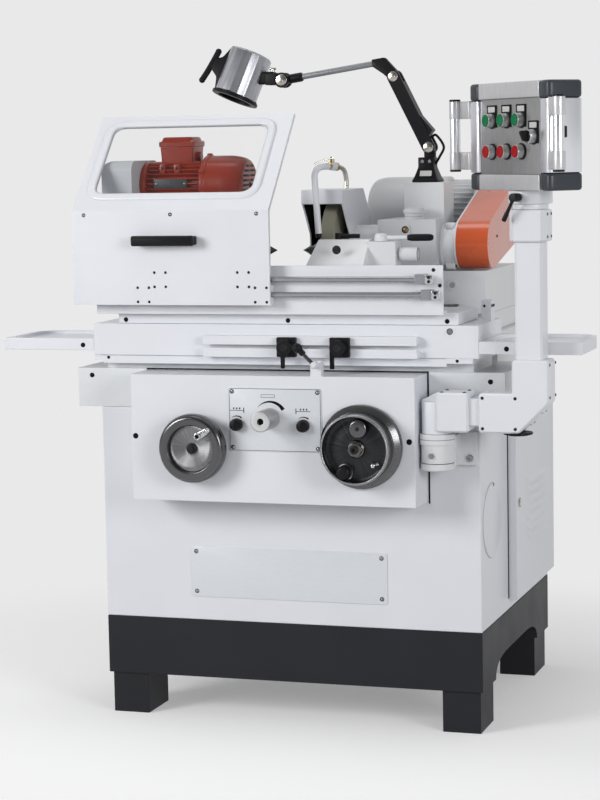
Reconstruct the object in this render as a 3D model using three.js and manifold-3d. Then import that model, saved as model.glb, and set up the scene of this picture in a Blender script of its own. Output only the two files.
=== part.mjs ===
// Small universal cylindrical grinder: a cast cabinet and plinth carry a bed, a
// long table with a swivelling upper table, a workhead and a tailstock, and a wheel
// head on a cross slide behind them. Millimetres, +X right, +Y back, +Z up.

import * as THREE from "three";
import { mergeVertices } from "three/addons/utils/BufferGeometryUtils.js";
import Module from "manifold-3d";

const wasm = await Module();
wasm.setup();

// Fits that many pieces share
const seatGap = 0.3;
const runGap = 0.5;
const overlap = 2;
const overrun = 5;

// Plinth and cabinet
const cabinetWidth = 900;
const cabinetDepth = 709;
const cabinetWall = 20;
const plinthTop = 231;
const cabinetHeight = 492.7;
const cabinetTop = plinthTop + seatGap + cabinetHeight;
const plinthWall = 30;
const skirtBottom = 96;
const sideSkirtRise = 45;
const sideSkirtBottom = skirtBottom + sideSkirtRise;
const footWidth = 88;
const footDepth = 123;
const footInset = 7;
const footSetback = 8;
const flareLength = 125;

// Electrical door on the right side of the cabinet
const doorFront = 268;
const doorBackInset = 19;
const doorLength = cabinetDepth - doorFront - doorBackInset;
const doorRise = 25;
const doorBottom = plinthTop + doorRise;
const doorDrop = 18;
const doorHeight = cabinetTop - doorDrop - doorBottom;
const doorThickness = 20;
const doorSheet = 2.5;
const doorLap = 30;

// Bed, its raised ways and the rear platform
const bedHalfLength = 507;
const bedDepth = 262;
const bedHeight = 89.7;
const bedTop = cabinetTop + seatGap + bedHeight;
const wayHalfLength = 435;
const wayFront = 8;
const wayBack = 185;
const wayHeight = 20.7;
const wayTop = bedTop + wayHeight;
const platformLeft = -250;
const platformRight = 430;
const platformHeight = 66;
const platformTop = bedTop + platformHeight;

// Apron gearbox and its controls
const apronHalfWidth = 331;
const apronDepth = 110;
const apronDrop = 2;
const apronTop = bedTop - apronDrop;
const apronHeight = 285;
const apronBottom = apronTop - apronHeight;
const speedKnobDrop = 94;
const speedKnobZ = apronTop - speedKnobDrop;
const speedKnobRadius = 23;
const speedKnobLength = 68;
const dwellKnobX = 78;
const dwellKnobDrop = 109;
const dwellKnobZ = apronTop - dwellKnobDrop;
const dwellKnobRadius = 14.5;
const dwellKnobLength = 20;
const knobChamfer = 2.5;

// Reversing post and lever
const postX = 107;
const postY = -98;
const postWidth = 25;
const postDepth = 20;
const postRise = 34;
const postTop = apronTop + postRise;
const leverKnobReach = 39;
const leverKnobX = postX - leverKnobReach;
const leverKnobRise = 29;
const leverKnobZ = postTop + leverKnobRise;
const leverKnobRadius = 11;
const leverRodRadius = 4.5;
const leverBossRadius = 8;

// Table handwheel with a folding crank
const tableWheelX = -174;
const tableWheelDrop = 161;
const tableWheelZ = apronTop - tableWheelDrop;
const tableWheelRadius = 77.5;
const tableWheelFaceRadius = 72;
const tableWheelDiscRadius = 52;
const tableWheelHubRadius = 12;
const wheelShaftRadius = 20;
const wheelStandoff = 14;
const tableWheelRim = 34;
const tableWheelDish = 10;
const crankShiftX = 22;
const crankX = tableWheelX + crankShiftX;
const crankShiftZ = 30;
const crankZ = tableWheelZ + crankShiftZ;
const crankLength = 28;
const crankRise = 30;
const crankBossRadius = 8;
const crankKnobRadius = 6;
const crankThickness = 8;

// Cross-feed handwheel with a graduated dial
const crossWheelX = 211;
const crossWheelDrop = 152;
const crossWheelZ = apronTop - crossWheelDrop;
const dialRadius = 93;
const dialThickness = 24;
const crossWheelRadius = 78;
const crossWheelDepth = 42;
const crossWheelDish = 22;
const crossWheelRim = 9;
const crossWheelHubRadius = 17;
const fineKnobRadius = 19;
const fineKnobRise = 20;
const fineKnobShiftX = 8;
const fineKnobShiftZ = 46;
const foldKnobRadius = 15;
const foldKnobShiftX = -26;
const foldKnobShiftZ = -55;

// Lower table, wings and reversing dogs
const tableHalfLength = 454;
const tableFront = -25;
const tableBack = 200;
const tableSeat = wayTop + seatGap;
const tableHeight = 84;
const tableTop = tableSeat + tableHeight;
const tableEdgeRise = 12;
const tableEdge = tableSeat + tableEdgeRise;
const tableInset = 3;
const tableUnderInset = 14;
const tableUnderRight = tableHalfLength - tableUnderInset;
const tableLipDrop = 7;
const tableLip = tableSeat - tableLipDrop;
const tableLipLeftInset = 21;
const tableLipLeft = tableHalfLength - tableLipLeftInset;
const tableLipRightInset = 73;
const tableLipRight = tableHalfLength - tableLipRightInset;
const tableLipDepth = 20;
const dogRailLeft = -179;
const dogRailRight = 320;
const dogRailBottom = tableEdge;
const dogRailHeight = 48;
const dogRailTop = dogRailBottom + dogRailHeight;
const dogRailDepth = 20;
const slotMouth = 8;
const slotFloor = 18;
const slotLip = 6;
const wingLength = 227.7;
const wingReach = tableHalfLength + seatGap + wingLength;
const wingRise = 22;
const wingBottom = tableSeat + wingRise;
const wingThickness = 27;
const wingTop = wingBottom + wingThickness;
const wingCorner = 60;
const wingEdge = 8;
const dogSpread = 45;
const dogRise = 22;
const dogPlate = 12;
const leftDogX = 22;
const dogPitch = 124;
const rightDogX = leftDogX + dogPitch;
const dogDrumRadius = 18;
const dogDrumLength = 16;
const dogFingerWidth = 9;
const dogFingerReach = 26;
const dogFingerThickness = 8;

// Stop block at the right end of the lower table
const stopInset = 24;
const stopLeft = tableHalfLength - stopInset;
const stopWidth = 22;
const stopFront = 105;
const stopDepth = 36;
const stopHeight = 47;
const stopTop = tableTop + stopHeight;

// Upper table, guard panel and guard rods
const upperTableLeft = -393;
const upperTableRight = 408;
const upperTableFront = -20;
const upperTableBack = 165;
const upperTableThickness = 26.7;
const upperTableTop = tableTop + seatGap + upperTableThickness;
const panelLeft = -436;
const panelRight = 381;
const panelFront = -45;
const panelSheet = 5;
const panelDrop = 3;
const panelBottom = upperTableTop - panelDrop;
const panelRise = 106;
const panelTop = upperTableTop + panelRise;
const panelShelf = 28;
const rodRadius = 6;
const rodOffset = 19;
const rodY = panelFront - rodOffset;
const upperRodDrop = 29;
const upperRodZ = panelTop - upperRodDrop;
const rodPitch = 34;
const lowerRodZ = upperRodZ - rodPitch;
const upperRodInset = 33;
const upperRodRight = panelRight - upperRodInset;
const lowerRodInset = 19;
const lowerRodRight = panelRight - lowerRodInset;
const rodInset = 6;
const rodLeft = panelLeft + rodInset;
const rodBracketLength = 24;
const rodBracketHeight = 22;

// Sliding guard door with a window
const guardLap = 40;
const guardLeft = panelLeft - guardLap;
const guardLength = 471;
const guardRight = guardLeft + guardLength;
const guardFront = -80;
const guardRise = 20;
const guardBottom = upperTableTop + guardRise;
const guardFrontHeight = 212;
const guardFold = guardBottom + guardFrontHeight;
const guardSlantHeight = 213;
const guardTop = guardFold + guardSlantHeight;
const guardSlantDepth = 200;
const guardTopY = guardFront + guardSlantDepth;
const guardSheet = 4;
const guardReturn = 10;
const bearingWidth = 40;
const bearingHeight = 40;
const bearingDepth = 24;
const upperBearingLeftInset = 211;
const upperBearingLeftX = guardLeft + upperBearingLeftInset;
const lowerBearingLeftInset = 170;
const lowerBearingLeftX = guardLeft + lowerBearingLeftInset;
const upperBearingRightInset = 62;
const upperBearingRightX = guardRight - upperBearingRightInset;
const lowerBearingRightInset = 21;
const lowerBearingRightX = guardRight - lowerBearingRightInset;
const windowLeftInset = 38;
const windowLeft = guardLeft + windowLeftInset;
const windowRightInset = 50;
const windowRight = guardRight - windowRightInset;
const windowLow = 53;
const windowHeight = 204;
const windowHigh = windowLow + windowHeight;
const windowCorner = 30;
const windowGlass = 3;
const gripInset = 154;
const gripLeft = guardLeft + gripInset;
const gripLength = 148;
const gripRight = gripLeft + gripLength;
const gripDrop = 67;
const gripZ = guardFold - gripDrop;
const gripReach = 32;
const gripHeight = 24;
const gripWall = 8;
const gripEnd = 14;

// Work axis
const workY = 90;
const centreHeight = 134;
const workZ = upperTableTop + centreHeight;

// Workhead
const workheadLeft = -371;
const workheadLength = 253;
const workheadRight = workheadLeft + workheadLength;
const workheadFront = 20;
const workheadDepth = 158;
const workheadBack = workheadFront + workheadDepth;
const workheadRise = 70;
const workheadTop = workZ + workheadRise;
const workheadFootHeight = 39;
const workheadWaist = upperTableTop + workheadFootHeight;
const workheadRound = 40;
const workSpindleRadius = 28;
const noseRadius = 50;
const noseLength = 20;
const centreRadius = 14;
const centreLength = 56;
const centreCone = 26;
const workMotorSetback = 40;
const workMotorY = workY + workMotorSetback;
const workMotorRise = 79;
const workMotorZ = workheadTop + workMotorRise;
const workMotorInset = 1;
const workMotorRight = workheadRight - workMotorInset;
const workMotorRadius = 57;
const workCowlRadius = 70;
const workCowlLength = 104;
const workMotorFoot = 100;
const terminalInset = 36;
const terminalLeft = workheadLeft + terminalInset;
const terminalWidth = 80;
const terminalOffset = 11;
const terminalFront = workMotorY - terminalOffset;
const terminalDepth = 74;
const terminalRise = 93;
const terminalLidZ = workMotorZ + terminalRise;
const terminalLip = 4;
const terminalLidHeight = 20;
const terminalTop = terminalLidZ + terminalLidHeight;
const workShaftRadius = 8;
const workShaftDepth = 30;
const workCoverLength = 75;
const workCoverLeft = workheadLeft - workCoverLength;
const workCoverWall = 3;
const workCoverInset = 7;
const workCoverFront = workheadFront + workCoverInset;
const workCoverLap = 17;
const workCoverBack = workheadBack + workCoverLap;
const workCoverDrop = 68;
const workCoverBottom = workZ - workCoverDrop;
const workCoverRise = 60;
const workCoverTop = workMotorZ + workCoverRise;
const workCoverRound = 24;
const workPulleyRadius = 42;
const workMotorPulleyRadius = 22;
const workBeltThickness = 5;
const workBeltWidth = 14;
const workPulleyWidth = 22;

// Tailstock
const tailLeft = 46;
const tailLength = 134;
const tailRight = tailLeft + tailLength;
const tailFront = 28;
const tailDepth = 88;
const tailBack = tailFront + tailDepth;
const tailFootLap = 34;
const tailFootBack = tailBack + tailFootLap;
const tailFootHeight = 39;
const tailFootTop = upperTableTop + tailFootHeight;
const tailRise = 24;
const tailTop = workZ + tailRise;
const tailFlatDepth = 38;
const tailFlatFront = tailBack - tailFlatDepth;
const tailShoulderDrop = 30;
const tailShoulder = workZ - tailShoulderDrop;
const tailEndSlant = 16;
const tailBoxLength = 64;
const tailBoxRight = tailRight + tailBoxLength;
const tailBoxDepth = 52;
const tailBoxDrop = 34;
const tailBoxBottom = workZ - tailBoxDrop;
const tailBoxRise = 19;
const tailBoxTop = workZ + tailBoxRise;
const quillRadius = 15;
const quillDepth = 104;
const quillBack = tailLeft + quillDepth;
const tipReach = 27;
const tipX = tailLeft - tipReach;
const tipLength = 16;
const tipRadius = 10.5;
const tailKnobRadius = 16;
const tailKnobLength = 46;
const tailKnobDrop = 10;
const tailKnobZ = workZ - tailKnobDrop;
const tailLeverInset = 40;
const tailLeverX = tailBoxRight - tailLeverInset;
const tailBossRadius = 15;
const tailBossHeight = 18;
const tailBossTop = tailBoxTop + tailBossHeight;
const tailArmRise = 8;
const tailArmZ = tailBoxTop + tailArmRise;
const tailArmLength = 122;
const tailArmRadius = 5;
const tailGripRadius = 8;
const tailGripLength = 56;
const lockInset = 58;
const lockX = tailLeft + lockInset;
const lockLength = 50;
const lockRadius = 5;
const lockHubRadius = 8;
const lockHubHeight = 14;

// Cross slide and wheel head
const slideLeft = 112;
const slideLength = 300;
const slideRight = slideLeft + slideLength;
const slideFront = 264;
const slideDepth = 386;
const slideBack = slideFront + slideDepth;
const slideHeight = 45;
const slideTop = platformTop + slideHeight;
const dovetailNeck = 140;
const dovetailHead = 172;
const dovetailHeight = 22;
const headLap = 36;
const headFront = slideFront - headLap;
const headDepth = 332;
const headBack = headFront + headDepth;
const headHeight = 99;
const headShoulder = slideTop + headHeight;
const boxInset = 51;
const boxLeft = slideLeft + boxInset;
const boxLength = 138;
const boxRight = boxLeft + boxLength;
const boxLap = 21;
const boxFront = headFront - boxLap;
const boxDepth = 173;
const boxBack = boxFront + boxDepth;
const boxRise = 63;
const boxTop = workZ + boxRise;
const wheelSetback = 42;
const wheelY = headFront + wheelSetback;
const sleeveRadius = 50;
const backPlate = 4;
const lampBoxInset = 42;
const lampBoxLeft = boxLeft + lampBoxInset;
const lampBoxLength = 95;
const lampBoxRight = lampBoxLeft + lampBoxLength;
const lampBoxDepth = 92;
const lampBoxFront = boxBack - lampBoxDepth;
const lampBoxHeight = 83;
const lampBoxTop = boxTop + lampBoxHeight;
const fillerInset = 77;
const fillerX = boxLeft + fillerInset;
const fillerSetback = 38;
const fillerY = boxFront + fillerSetback;
const fillerRadius = 22;
const fillerRise = 26;
const motorBracketFront = 430;
const motorBracketDepth = 170;
const motorBracketBack = motorBracketFront + motorBracketDepth;
const motorBracketHeight = 38;
const motorBracketTop = headShoulder + motorBracketHeight;

// Wheel, spindle and guard
const wheelRadius = 118;
const wheelBore = 38;
const wheelLeft = 40;
const wheelWidth = 32;
const flangeRadius = 50;
const flangeThickness = 9;
const spindleRadius = 22;
const guardBoxInset = 42;
const guardBoxLeft = wheelLeft - guardBoxInset;
const guardBoxLength = 99;
const guardBoxRight = guardBoxLeft + guardBoxLength;
const guardWall = 4;
const guardRimReach = 124;
const guardRimFront = wheelY - guardRimReach;
const guardRimRise = 102;
const guardRimBottom = workZ + guardRimRise;
const guardBoxRise = 135;
const guardBoxTop = workZ + guardBoxRise;
const guardTopReach = 50;
const guardTopBack = wheelY + guardTopReach;
const guardBackReach = 138;
const guardBack = wheelY + guardBackReach;
const guardKneeRise = 34;
const guardBackKnee = workZ + guardKneeRise;
const guardBoxDrop = 128;
const guardBoxBottom = workZ - guardBoxDrop;
const guardLipReach = 65;
const guardLipY = wheelY - guardLipReach;
const guardLipRise = 31;
const guardLipZ = workZ + guardLipRise;
const guardHeelReach = 44;
const guardHeelY = wheelY - guardHeelReach;

// Wheel motor, belt and belt cover
const motorSetback = 95;
const motorY = motorBracketFront + motorSetback;
const motorRise = 92;
const motorZ = motorBracketTop + motorRise;
const motorLeft = 58;
const motorLength = 278;
const motorRight = motorLeft + motorLength;
const motorRadius = 74;
const motorCowlRadius = 82;
const motorCowlLength = 200;
const motorDome = 40;
const motorShaftRadius = 12;
const motorPulleyHub = 18;
const motorShaftDepth = 40;
const coverGap = 9;
const coverLeft = motorRight + coverGap;
const coverLength = 75;
const coverRight = coverLeft + coverLength;
const coverWall = 3;
const coverNoseRadius = 57;
const coverTailRadius = 72;
const coverNoseRise = 5;
const spindlePulleyRadius = 34;
const motorPulleyRadius = 48;
const pulleyInset = 13;
const pulleyLeft = coverLeft + pulleyInset;
const pulleyWidth = 42;
const beltThickness = 6;
const beltWidth = 34;

// Coolant pipe
const pipeRadius = 7.5;
const pipeFootInset = 17;
const pipeFootX = guardBoxRight - pipeFootInset;
const pipeFootSetback = 90;
const pipeFootY = guardRimFront + pipeFootSetback;
const pipeSway = 39;
const pipeReach = 117;
const pipeRise = 53;
const nozzleSway = 32;
const pipeFlangeRadius = 16;
const pipeFlangeHeight = 10;
const nozzleRise = 26;
const nozzleBottom = workZ + nozzleRise;

// Work lamp
const lampInset = 45;
const lampX = lampBoxLeft + lampInset;
const lampSetback = 44;
const lampY = boxBack - lampSetback;
const lampFoot = 76;
const lampNeck = 38;
const lampFlange = 6;
const lampTaperHeight = 36;
const lampTaperTop = lampBoxTop + lampTaperHeight;
const lampNeckHeight = 22;
const lampNeckZ = lampTaperTop + lampNeckHeight;
const lampHipShift = 6;
const lampHipX = lampX + lampHipShift;
const lampHipRise = 23;
const lampHipZ = lampNeckZ + lampHipRise;
const lowerArmRun = 83;
const lampElbowX = lampHipX - lowerArmRun;
const lowerArmRise = 166;
const lampElbowZ = lampHipZ + lowerArmRise;
const upperArmRun = 275;
const lampWristX = lampElbowX - upperArmRun;
const upperArmFall = 1;
const lampWristZ = lampElbowZ - upperArmFall;
const lampArmWidth = 30;
const lampArmThickness = 34;
const humpStart = 25;
const humpLead = 6;
const humpPeak = humpStart + humpLead;
const humpLength = 59;
const humpEnd = humpStart + humpLength;
const humpRise = 27;
const tongueThickness = 15;
const tongueRadius = 13;
const pinRadius = 4;
const elbowRun = 25;
const elbowRiseX = lampElbowX - elbowRun;
const elbowRise = 43;
const elbowRiseZ = lampElbowZ + elbowRise;
const elbowBlock = 22;
const lampTubeRadius = 7;
const sleeveBlock = 20;
const sleeveBlockLength = 56;
const headTopRun = 82;
const headTopX = lampWristX - headTopRun;
const headTopShift = 13;
const headTopY = lampY + headTopShift;
const headTopRise = 66;
const headTopZ = lampWristZ + headTopRise;
const headLeanX = 45;
const headMouthX = headTopX - headLeanX;
const headLeanY = 25;
const headMouthY = headTopY - headLeanY;
const headLeanZ = 104;
const headMouthZ = headTopZ - headLeanZ;
const headRadius = 49;
const headFaces = 16;
const headNeck = 20;
const mouthRingRadius = 55;
const mouthRingHeight = 8;
const mouthRadius = 44;
const mouthDepth = 6;
const handleLowRun = 87;
const handleLowX = headMouthX - handleLowRun;
const handleLowRise = 56;
const handleLowZ = headMouthZ + handleLowRise;
const handleRun = 40;
const handleHighX = handleLowX + handleRun;
const handleRise = 62;
const handleHighZ = handleLowZ + handleRise;
const handleRadius = 6;
const cableRadius = 3;
const cableStart = 20;
const cableLead = 12;
const cableBellyX = 289;
const cableBellyZ = 1308;

// Pendant bracket and arm
const armX = 370;
const armY = -65;
const barrelRadius = 36;
const barrelDrop = 127;
const barrelTop = bedTop - barrelDrop;
const barrelHeight = 77;
const barrelBottom = barrelTop - barrelHeight;
const barrelPlateReach = 75;
const barrelPlateRight = armX + barrelPlateReach;
const barrelPlateLap = 32;
const barrelPlateLeft = armX - barrelPlateLap;
const barrelPlateThickness = 12;
const barrelPlateHeight = 74;
const barrelWeb = 40;
const armRise = 50;
const armZ = barrelTop + armRise;
const armHeight = 86;
const armBlock = 80;
const armHeadInset = 7;
const armHeadLeft = armX + armHeadInset;
const armHeadLength = 71;
const armHeadRight = armHeadLeft + armHeadLength;
const tubeSide = 60;
const armTubeLength = 23;
const armTubeRight = armHeadRight + armTubeLength;
const columnRun = 109.5;
const columnX = armTubeRight + columnRun;
const elbowInner = 36;
const elbowLeft = columnX - elbowInner;
const elbowOuter = 45;
const elbowRight = columnX + elbowOuter;
const elbowHeight = 115;
const elbowTop = armZ + elbowHeight;
const elbowCut = 66;
const columnHeight = 252;
const neckBottom = elbowTop + columnHeight;
const neckHeight = 68;
const neckTop = neckBottom + neckHeight;

// Pendant case, handles and controls
const swivelRingHeight = 12;
const swivelRingTop = neckTop + swivelRingHeight;
const swivelRingRadius = 38;
const swivelFlangeRadius = 47;
const pendantGap = 29;
const pendantBottom = swivelRingTop + pendantGap;
const pendantHeight = 227.5;
const pendantWidth = 315;
const pendantDepth = 85.4;
const pendantForward = 13;
const pendantTurn = 45.2;
const pendantCorner = 8;
const buttonPitch = 58;
const buttonLeft = -70;
const startRowRise = 148;
const startRowZ = pendantBottom + startRowRise;
const rowPitch = 66;
const stopRowZ = startRowZ - rowPitch;
const bezelRadius = 14.5;
const bezelRise = 10;
const capRadius = 11;
const capRise = 5;
const capStem = 25;
const buttonTravel = 4;
const selectorAcross = 93;
const selectorRow = 113;
const selectorZ = pendantBottom + selectorRow;
const selectorGrip = 8;
const selectorRise = 16;
const gripTubeRadius = 13;
const gripTubeOut = 47;
const gripTubeForward = 7;
const gripTubeHeight = 152;
const gripTubeRise = 118;
const gripTubeZ = pendantBottom + gripTubeRise;
const gripBracketHeight = 40;
const gripBracketThickness = 14;
const clampRadius = 6;
const clampLength = 56;
const clampHubRadius = 9;
const clampHubLength = 26;
const clampLean = 28;
const clampSide = -20;

// Counts and angles
const coarseSides = 16;
const roundSides = 24;
const fineSides = 36;
const arcSteps = 8;
const pipeSteps = 26;
const cableSteps = 12;
const quarterTurn = Math.PI / 2;

const group = new THREE.Group();

// Colours of the finishes
const finishes = {
  white: { color: 0xe6e9ec, roughness: 0.45, metalness: 0.05 },
  black: { color: 0x2b2c30, roughness: 0.55, metalness: 0.05 },
  red: { color: 0x97301d, roughness: 0.45, metalness: 0.1 },
  orange: { color: 0xc2512b, roughness: 0.4, metalness: 0.05 },
  grey: { color: 0xaab0b3, roughness: 0.5, metalness: 0.1 },
  iron: { color: 0x7f8486, roughness: 0.4, metalness: 0.8 },
  steel: { color: 0xb9bcc0, roughness: 0.25, metalness: 1 },
  darkSteel: { color: 0x55585c, roughness: 0.35, metalness: 0.9 },
  stone: { color: 0xb0aa98, roughness: 0.9, metalness: 0 },
  plastic: { color: 0x17181b, roughness: 0.4, metalness: 0 },
  rubber: { color: 0x1c1c1e, roughness: 0.8, metalness: 0 },
  glass: { color: 0xdfeaf0, roughness: 0.05, metalness: 0 },
  aluminium: { color: 0xc3c6ca, roughness: 0.3, metalness: 0.9 },
  green: { color: 0x0d8a5c, roughness: 0.3, metalness: 0 },
  crimson: { color: 0xb8161e, roughness: 0.3, metalness: 0 },
};

// Names a shape as a sub-part with its own finish
function add(name, geometry, finish) {
  const mesh = new THREE.Mesh(geometry, new THREE.MeshStandardMaterial(finishes[finish]));
  mesh.name = name;
  group.add(mesh);
  return mesh;
}

// A closed triangle mesh as a solid for joining and cutting
function solid(geometry) {
  const bare = geometry.clone();
  bare.deleteAttribute("normal");
  bare.deleteAttribute("uv");
  const merged = mergeVertices(bare);
  return new wasm.Manifold(
    new wasm.Mesh({
      numProp: 3,
      vertProperties: new Float32Array(merged.getAttribute("position").array),
      triVerts: new Uint32Array(merged.getIndex().array),
    }),
  );
}

function geometryOf(body) {
  const mesh = body.getMesh();
  const geometry = new THREE.BufferGeometry();
  geometry.setAttribute("position", new THREE.BufferAttribute(mesh.vertProperties, 3));
  geometry.setIndex(new THREE.BufferAttribute(mesh.triVerts, 1));
  geometry.computeVertexNormals();
  return geometry;
}

function join(...pieces) {
  return geometryOf(pieces.map(solid).reduce((whole, piece) => whole.add(piece)));
}

function cut(base, ...tools) {
  return geometryOf(tools.map(solid).reduce((whole, tool) => whole.subtract(tool), solid(base)));
}

// A box between two values on each axis
function slab([x0, x1], [y0, y1], [z0, z1]) {
  const box = new THREE.BoxGeometry(x1 - x0, y1 - y0, z1 - z0);
  return box.translate((x0 + x1) / 2, (y0 + y1) / 2, (z0 + z1) / 2);
}

// Round bars along each axis, between two values on that axis
function barX(radius, [x0, x1], y, z, sides = roundSides) {
  const bar = new THREE.CylinderGeometry(radius, radius, x1 - x0, sides);
  return bar.rotateZ(-quarterTurn).translate((x0 + x1) / 2, y, z);
}

function barY(radius, x, [y0, y1], z, sides = roundSides) {
  const bar = new THREE.CylinderGeometry(radius, radius, y1 - y0, sides);
  return bar.translate(x, (y0 + y1) / 2, z);
}

function barZ(radius, x, y, [z0, z1], sides = roundSides) {
  const bar = new THREE.CylinderGeometry(radius, radius, z1 - z0, sides);
  return bar.rotateX(quarterTurn).translate(x, y, (z0 + z1) / 2);
}

// A turned shape from [radius, distance] pairs along an axis through the origin
function turned(profile, sides = roundSides) {
  const points = profile.map(([radius, along]) => new THREE.Vector2(radius, along));
  return new THREE.LatheGeometry(points, sides);
}

function outline(points) {
  return new THREE.Shape(points.map(([u, v]) => new THREE.Vector2(u, v)));
}

function extruded(shape, depth) {
  return new THREE.ExtrudeGeometry(shape, {
    depth,
    bevelEnabled: false,
    curveSegments: arcSteps,
  });
}

// A YZ outline carried along X
function alongX(shape, [x0, x1]) {
  const frame = new THREE.Matrix4().makeBasis(
    new THREE.Vector3(0, 1, 0),
    new THREE.Vector3(0, 0, 1),
    new THREE.Vector3(1, 0, 0),
  );
  return extruded(shape, x1 - x0).applyMatrix4(frame).translate(x0, 0, 0);
}

// An XZ outline carried along Y
function alongY(shape, [y0, y1]) {
  return extruded(shape, y1 - y0).rotateX(quarterTurn).translate(0, y1, 0);
}

// An XY outline carried along Z
function alongZ(shape, [z0, z1]) {
  return extruded(shape, z1 - z0).translate(0, 0, z0);
}

// A rectangle with its four corners rounded
function roundedRectangle([u0, u1], [v0, v1], radius) {
  const shape = new THREE.Shape();
  shape.moveTo(u0 + radius, v0);
  shape.lineTo(u1 - radius, v0);
  shape.absarc(u1 - radius, v0 + radius, radius, -quarterTurn, 0);
  shape.lineTo(u1, v1 - radius);
  shape.absarc(u1 - radius, v1 - radius, radius, 0, quarterTurn);
  shape.lineTo(u0 + radius, v1);
  shape.absarc(u0 + radius, v1 - radius, radius, quarterTurn, 2 * quarterTurn);
  shape.lineTo(u0, v0 + radius);
  shape.absarc(u0 + radius, v0 + radius, radius, 2 * quarterTurn, 3 * quarterTurn);
  return shape;
}

// The outline round two circles joined by their outer tangents
function beltOutline([y1, z1, r1], [y2, z2, r2]) {
  const run = Math.atan2(z2 - z1, y2 - y1);
  const spread = Math.acos((r1 - r2) / Math.hypot(y2 - y1, z2 - z1));
  const shape = new THREE.Shape();
  shape.absarc(y1, z1, r1, run + spread, run - spread + 4 * quarterTurn);
  shape.absarc(y2, z2, r2, run - spread, run + spread);
  return shape;
}

// A round tube along a smooth curve through points
function tube(points, radius, steps, sides) {
  const section = new THREE.Shape();
  section.absarc(0, 0, radius, 0, 4 * quarterTurn);
  const path = new THREE.CatmullRomCurve3(points.map((point) => new THREE.Vector3(...point)));
  return new THREE.ExtrudeGeometry(section, {
    steps,
    extrudePath: path,
    curveSegments: sides / 2,
    bevelEnabled: false,
  });
}

// A round bar between two points
function rodBetween(from, to, radius) {
  const start = new THREE.Vector3(...from);
  const run = new THREE.Vector3(...to).sub(start);
  const rod = new THREE.CylinderGeometry(radius, radius, run.length(), coarseSides);
  rod.translate(0, run.length() / 2, 0);
  const turn = new THREE.Quaternion().setFromUnitVectors(
    new THREE.Vector3(0, 1, 0),
    run.clone().normalize(),
  );
  return rod.applyQuaternion(turn).translate(...from);
}

// Plinth: a skirt frame on four feet, with the side skirts arched up between them
function plinth() {
  const half = cabinetWidth / 2;
  const footBack = footSetback + footDepth;
  const frame = slab([-half, half], [0, cabinetDepth], [skirtBottom, plinthTop]);
  const inside = slab(
    [-half + plinthWall, half - plinthWall],
    [plinthWall, cabinetDepth - plinthWall],
    [skirtBottom - overrun, plinthTop + overrun],
  );
  const arch = new THREE.Shape();
  arch.moveTo(footBack, skirtBottom - overrun);
  arch.lineTo(footBack, skirtBottom);
  arch.quadraticCurveTo(footBack, sideSkirtBottom, footBack + flareLength, sideSkirtBottom);
  arch.lineTo(cabinetDepth - footBack - flareLength, sideSkirtBottom);
  arch.quadraticCurveTo(
    cabinetDepth - footBack,
    sideSkirtBottom,
    cabinetDepth - footBack,
    skirtBottom,
  );
  arch.lineTo(cabinetDepth - footBack, skirtBottom - overrun);
  const ring = cut(frame, inside, alongX(arch, [-half - overrun, half + overrun]));
  const outer = half - footInset;
  const feet = [];
  for (const side of [-1, 1]) {
    const span = [side * outer, side * (outer - footWidth)].sort((a, b) => a - b);
    for (const y of [footSetback, cabinetDepth - footBack]) {
      feet.push(slab(span, [y, y + footDepth], [0, skirtBottom + plinthWall]));
    }
  }
  return join(ring, ...feet);
}

// Cabinet: a casting open underneath, with a bay behind the electrical door
function cabinet() {
  const half = cabinetWidth / 2;
  const shell = slab([-half, half], [0, cabinetDepth], [plinthTop + seatGap, cabinetTop]);
  const inside = slab(
    [-half + cabinetWall, half - cabinetWall],
    [cabinetWall, cabinetDepth - cabinetWall],
    [plinthTop - overrun, cabinetTop - cabinetWall],
  );
  const bay = slab(
    [half - cabinetWall - overrun, half + overrun],
    [doorFront + doorLap, doorFront + doorLength - doorLap],
    [doorBottom + doorLap, doorBottom + doorHeight - doorLap],
  );
  return cut(shell, inside, bay);
}

// Electrical door: a shallow pan that closes on the cabinet's side
function electricalDoor() {
  const inner = cabinetWidth / 2 + seatGap;
  const pan = slab(
    [inner, inner + doorThickness],
    [doorFront, doorFront + doorLength],
    [doorBottom, doorBottom + doorHeight],
  );
  const hollow = slab(
    [inner - overrun, inner + doorThickness - doorSheet],
    [doorFront + doorSheet, doorFront + doorLength - doorSheet],
    [doorBottom + doorSheet, doorBottom + doorHeight - doorSheet],
  );
  return cut(pan, hollow);
}

// Bed: the wide front block, the raised ways and the platform behind
function bed() {
  const floor = cabinetTop + seatGap;
  return join(
    slab([-bedHalfLength, bedHalfLength], [0, bedDepth], [floor, bedTop]),
    slab([-wayHalfLength, wayHalfLength], [wayFront, wayBack], [bedTop - overlap, wayTop]),
    slab([platformLeft, platformRight], [bedDepth - overlap, cabinetDepth], [floor, platformTop]),
  );
}

// Apron: the gearbox block, with the reversing post cast on its top
function apron() {
  const block = slab(
    [-apronHalfWidth, apronHalfWidth],
    [-apronDepth, -seatGap],
    [apronBottom, apronTop],
  );
  const post = slab(
    [postX - postWidth / 2, postX + postWidth / 2],
    [postY - postDepth / 2, postY + postDepth / 2],
    [apronTop - overlap, postTop],
  );
  return join(block, post);
}

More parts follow.
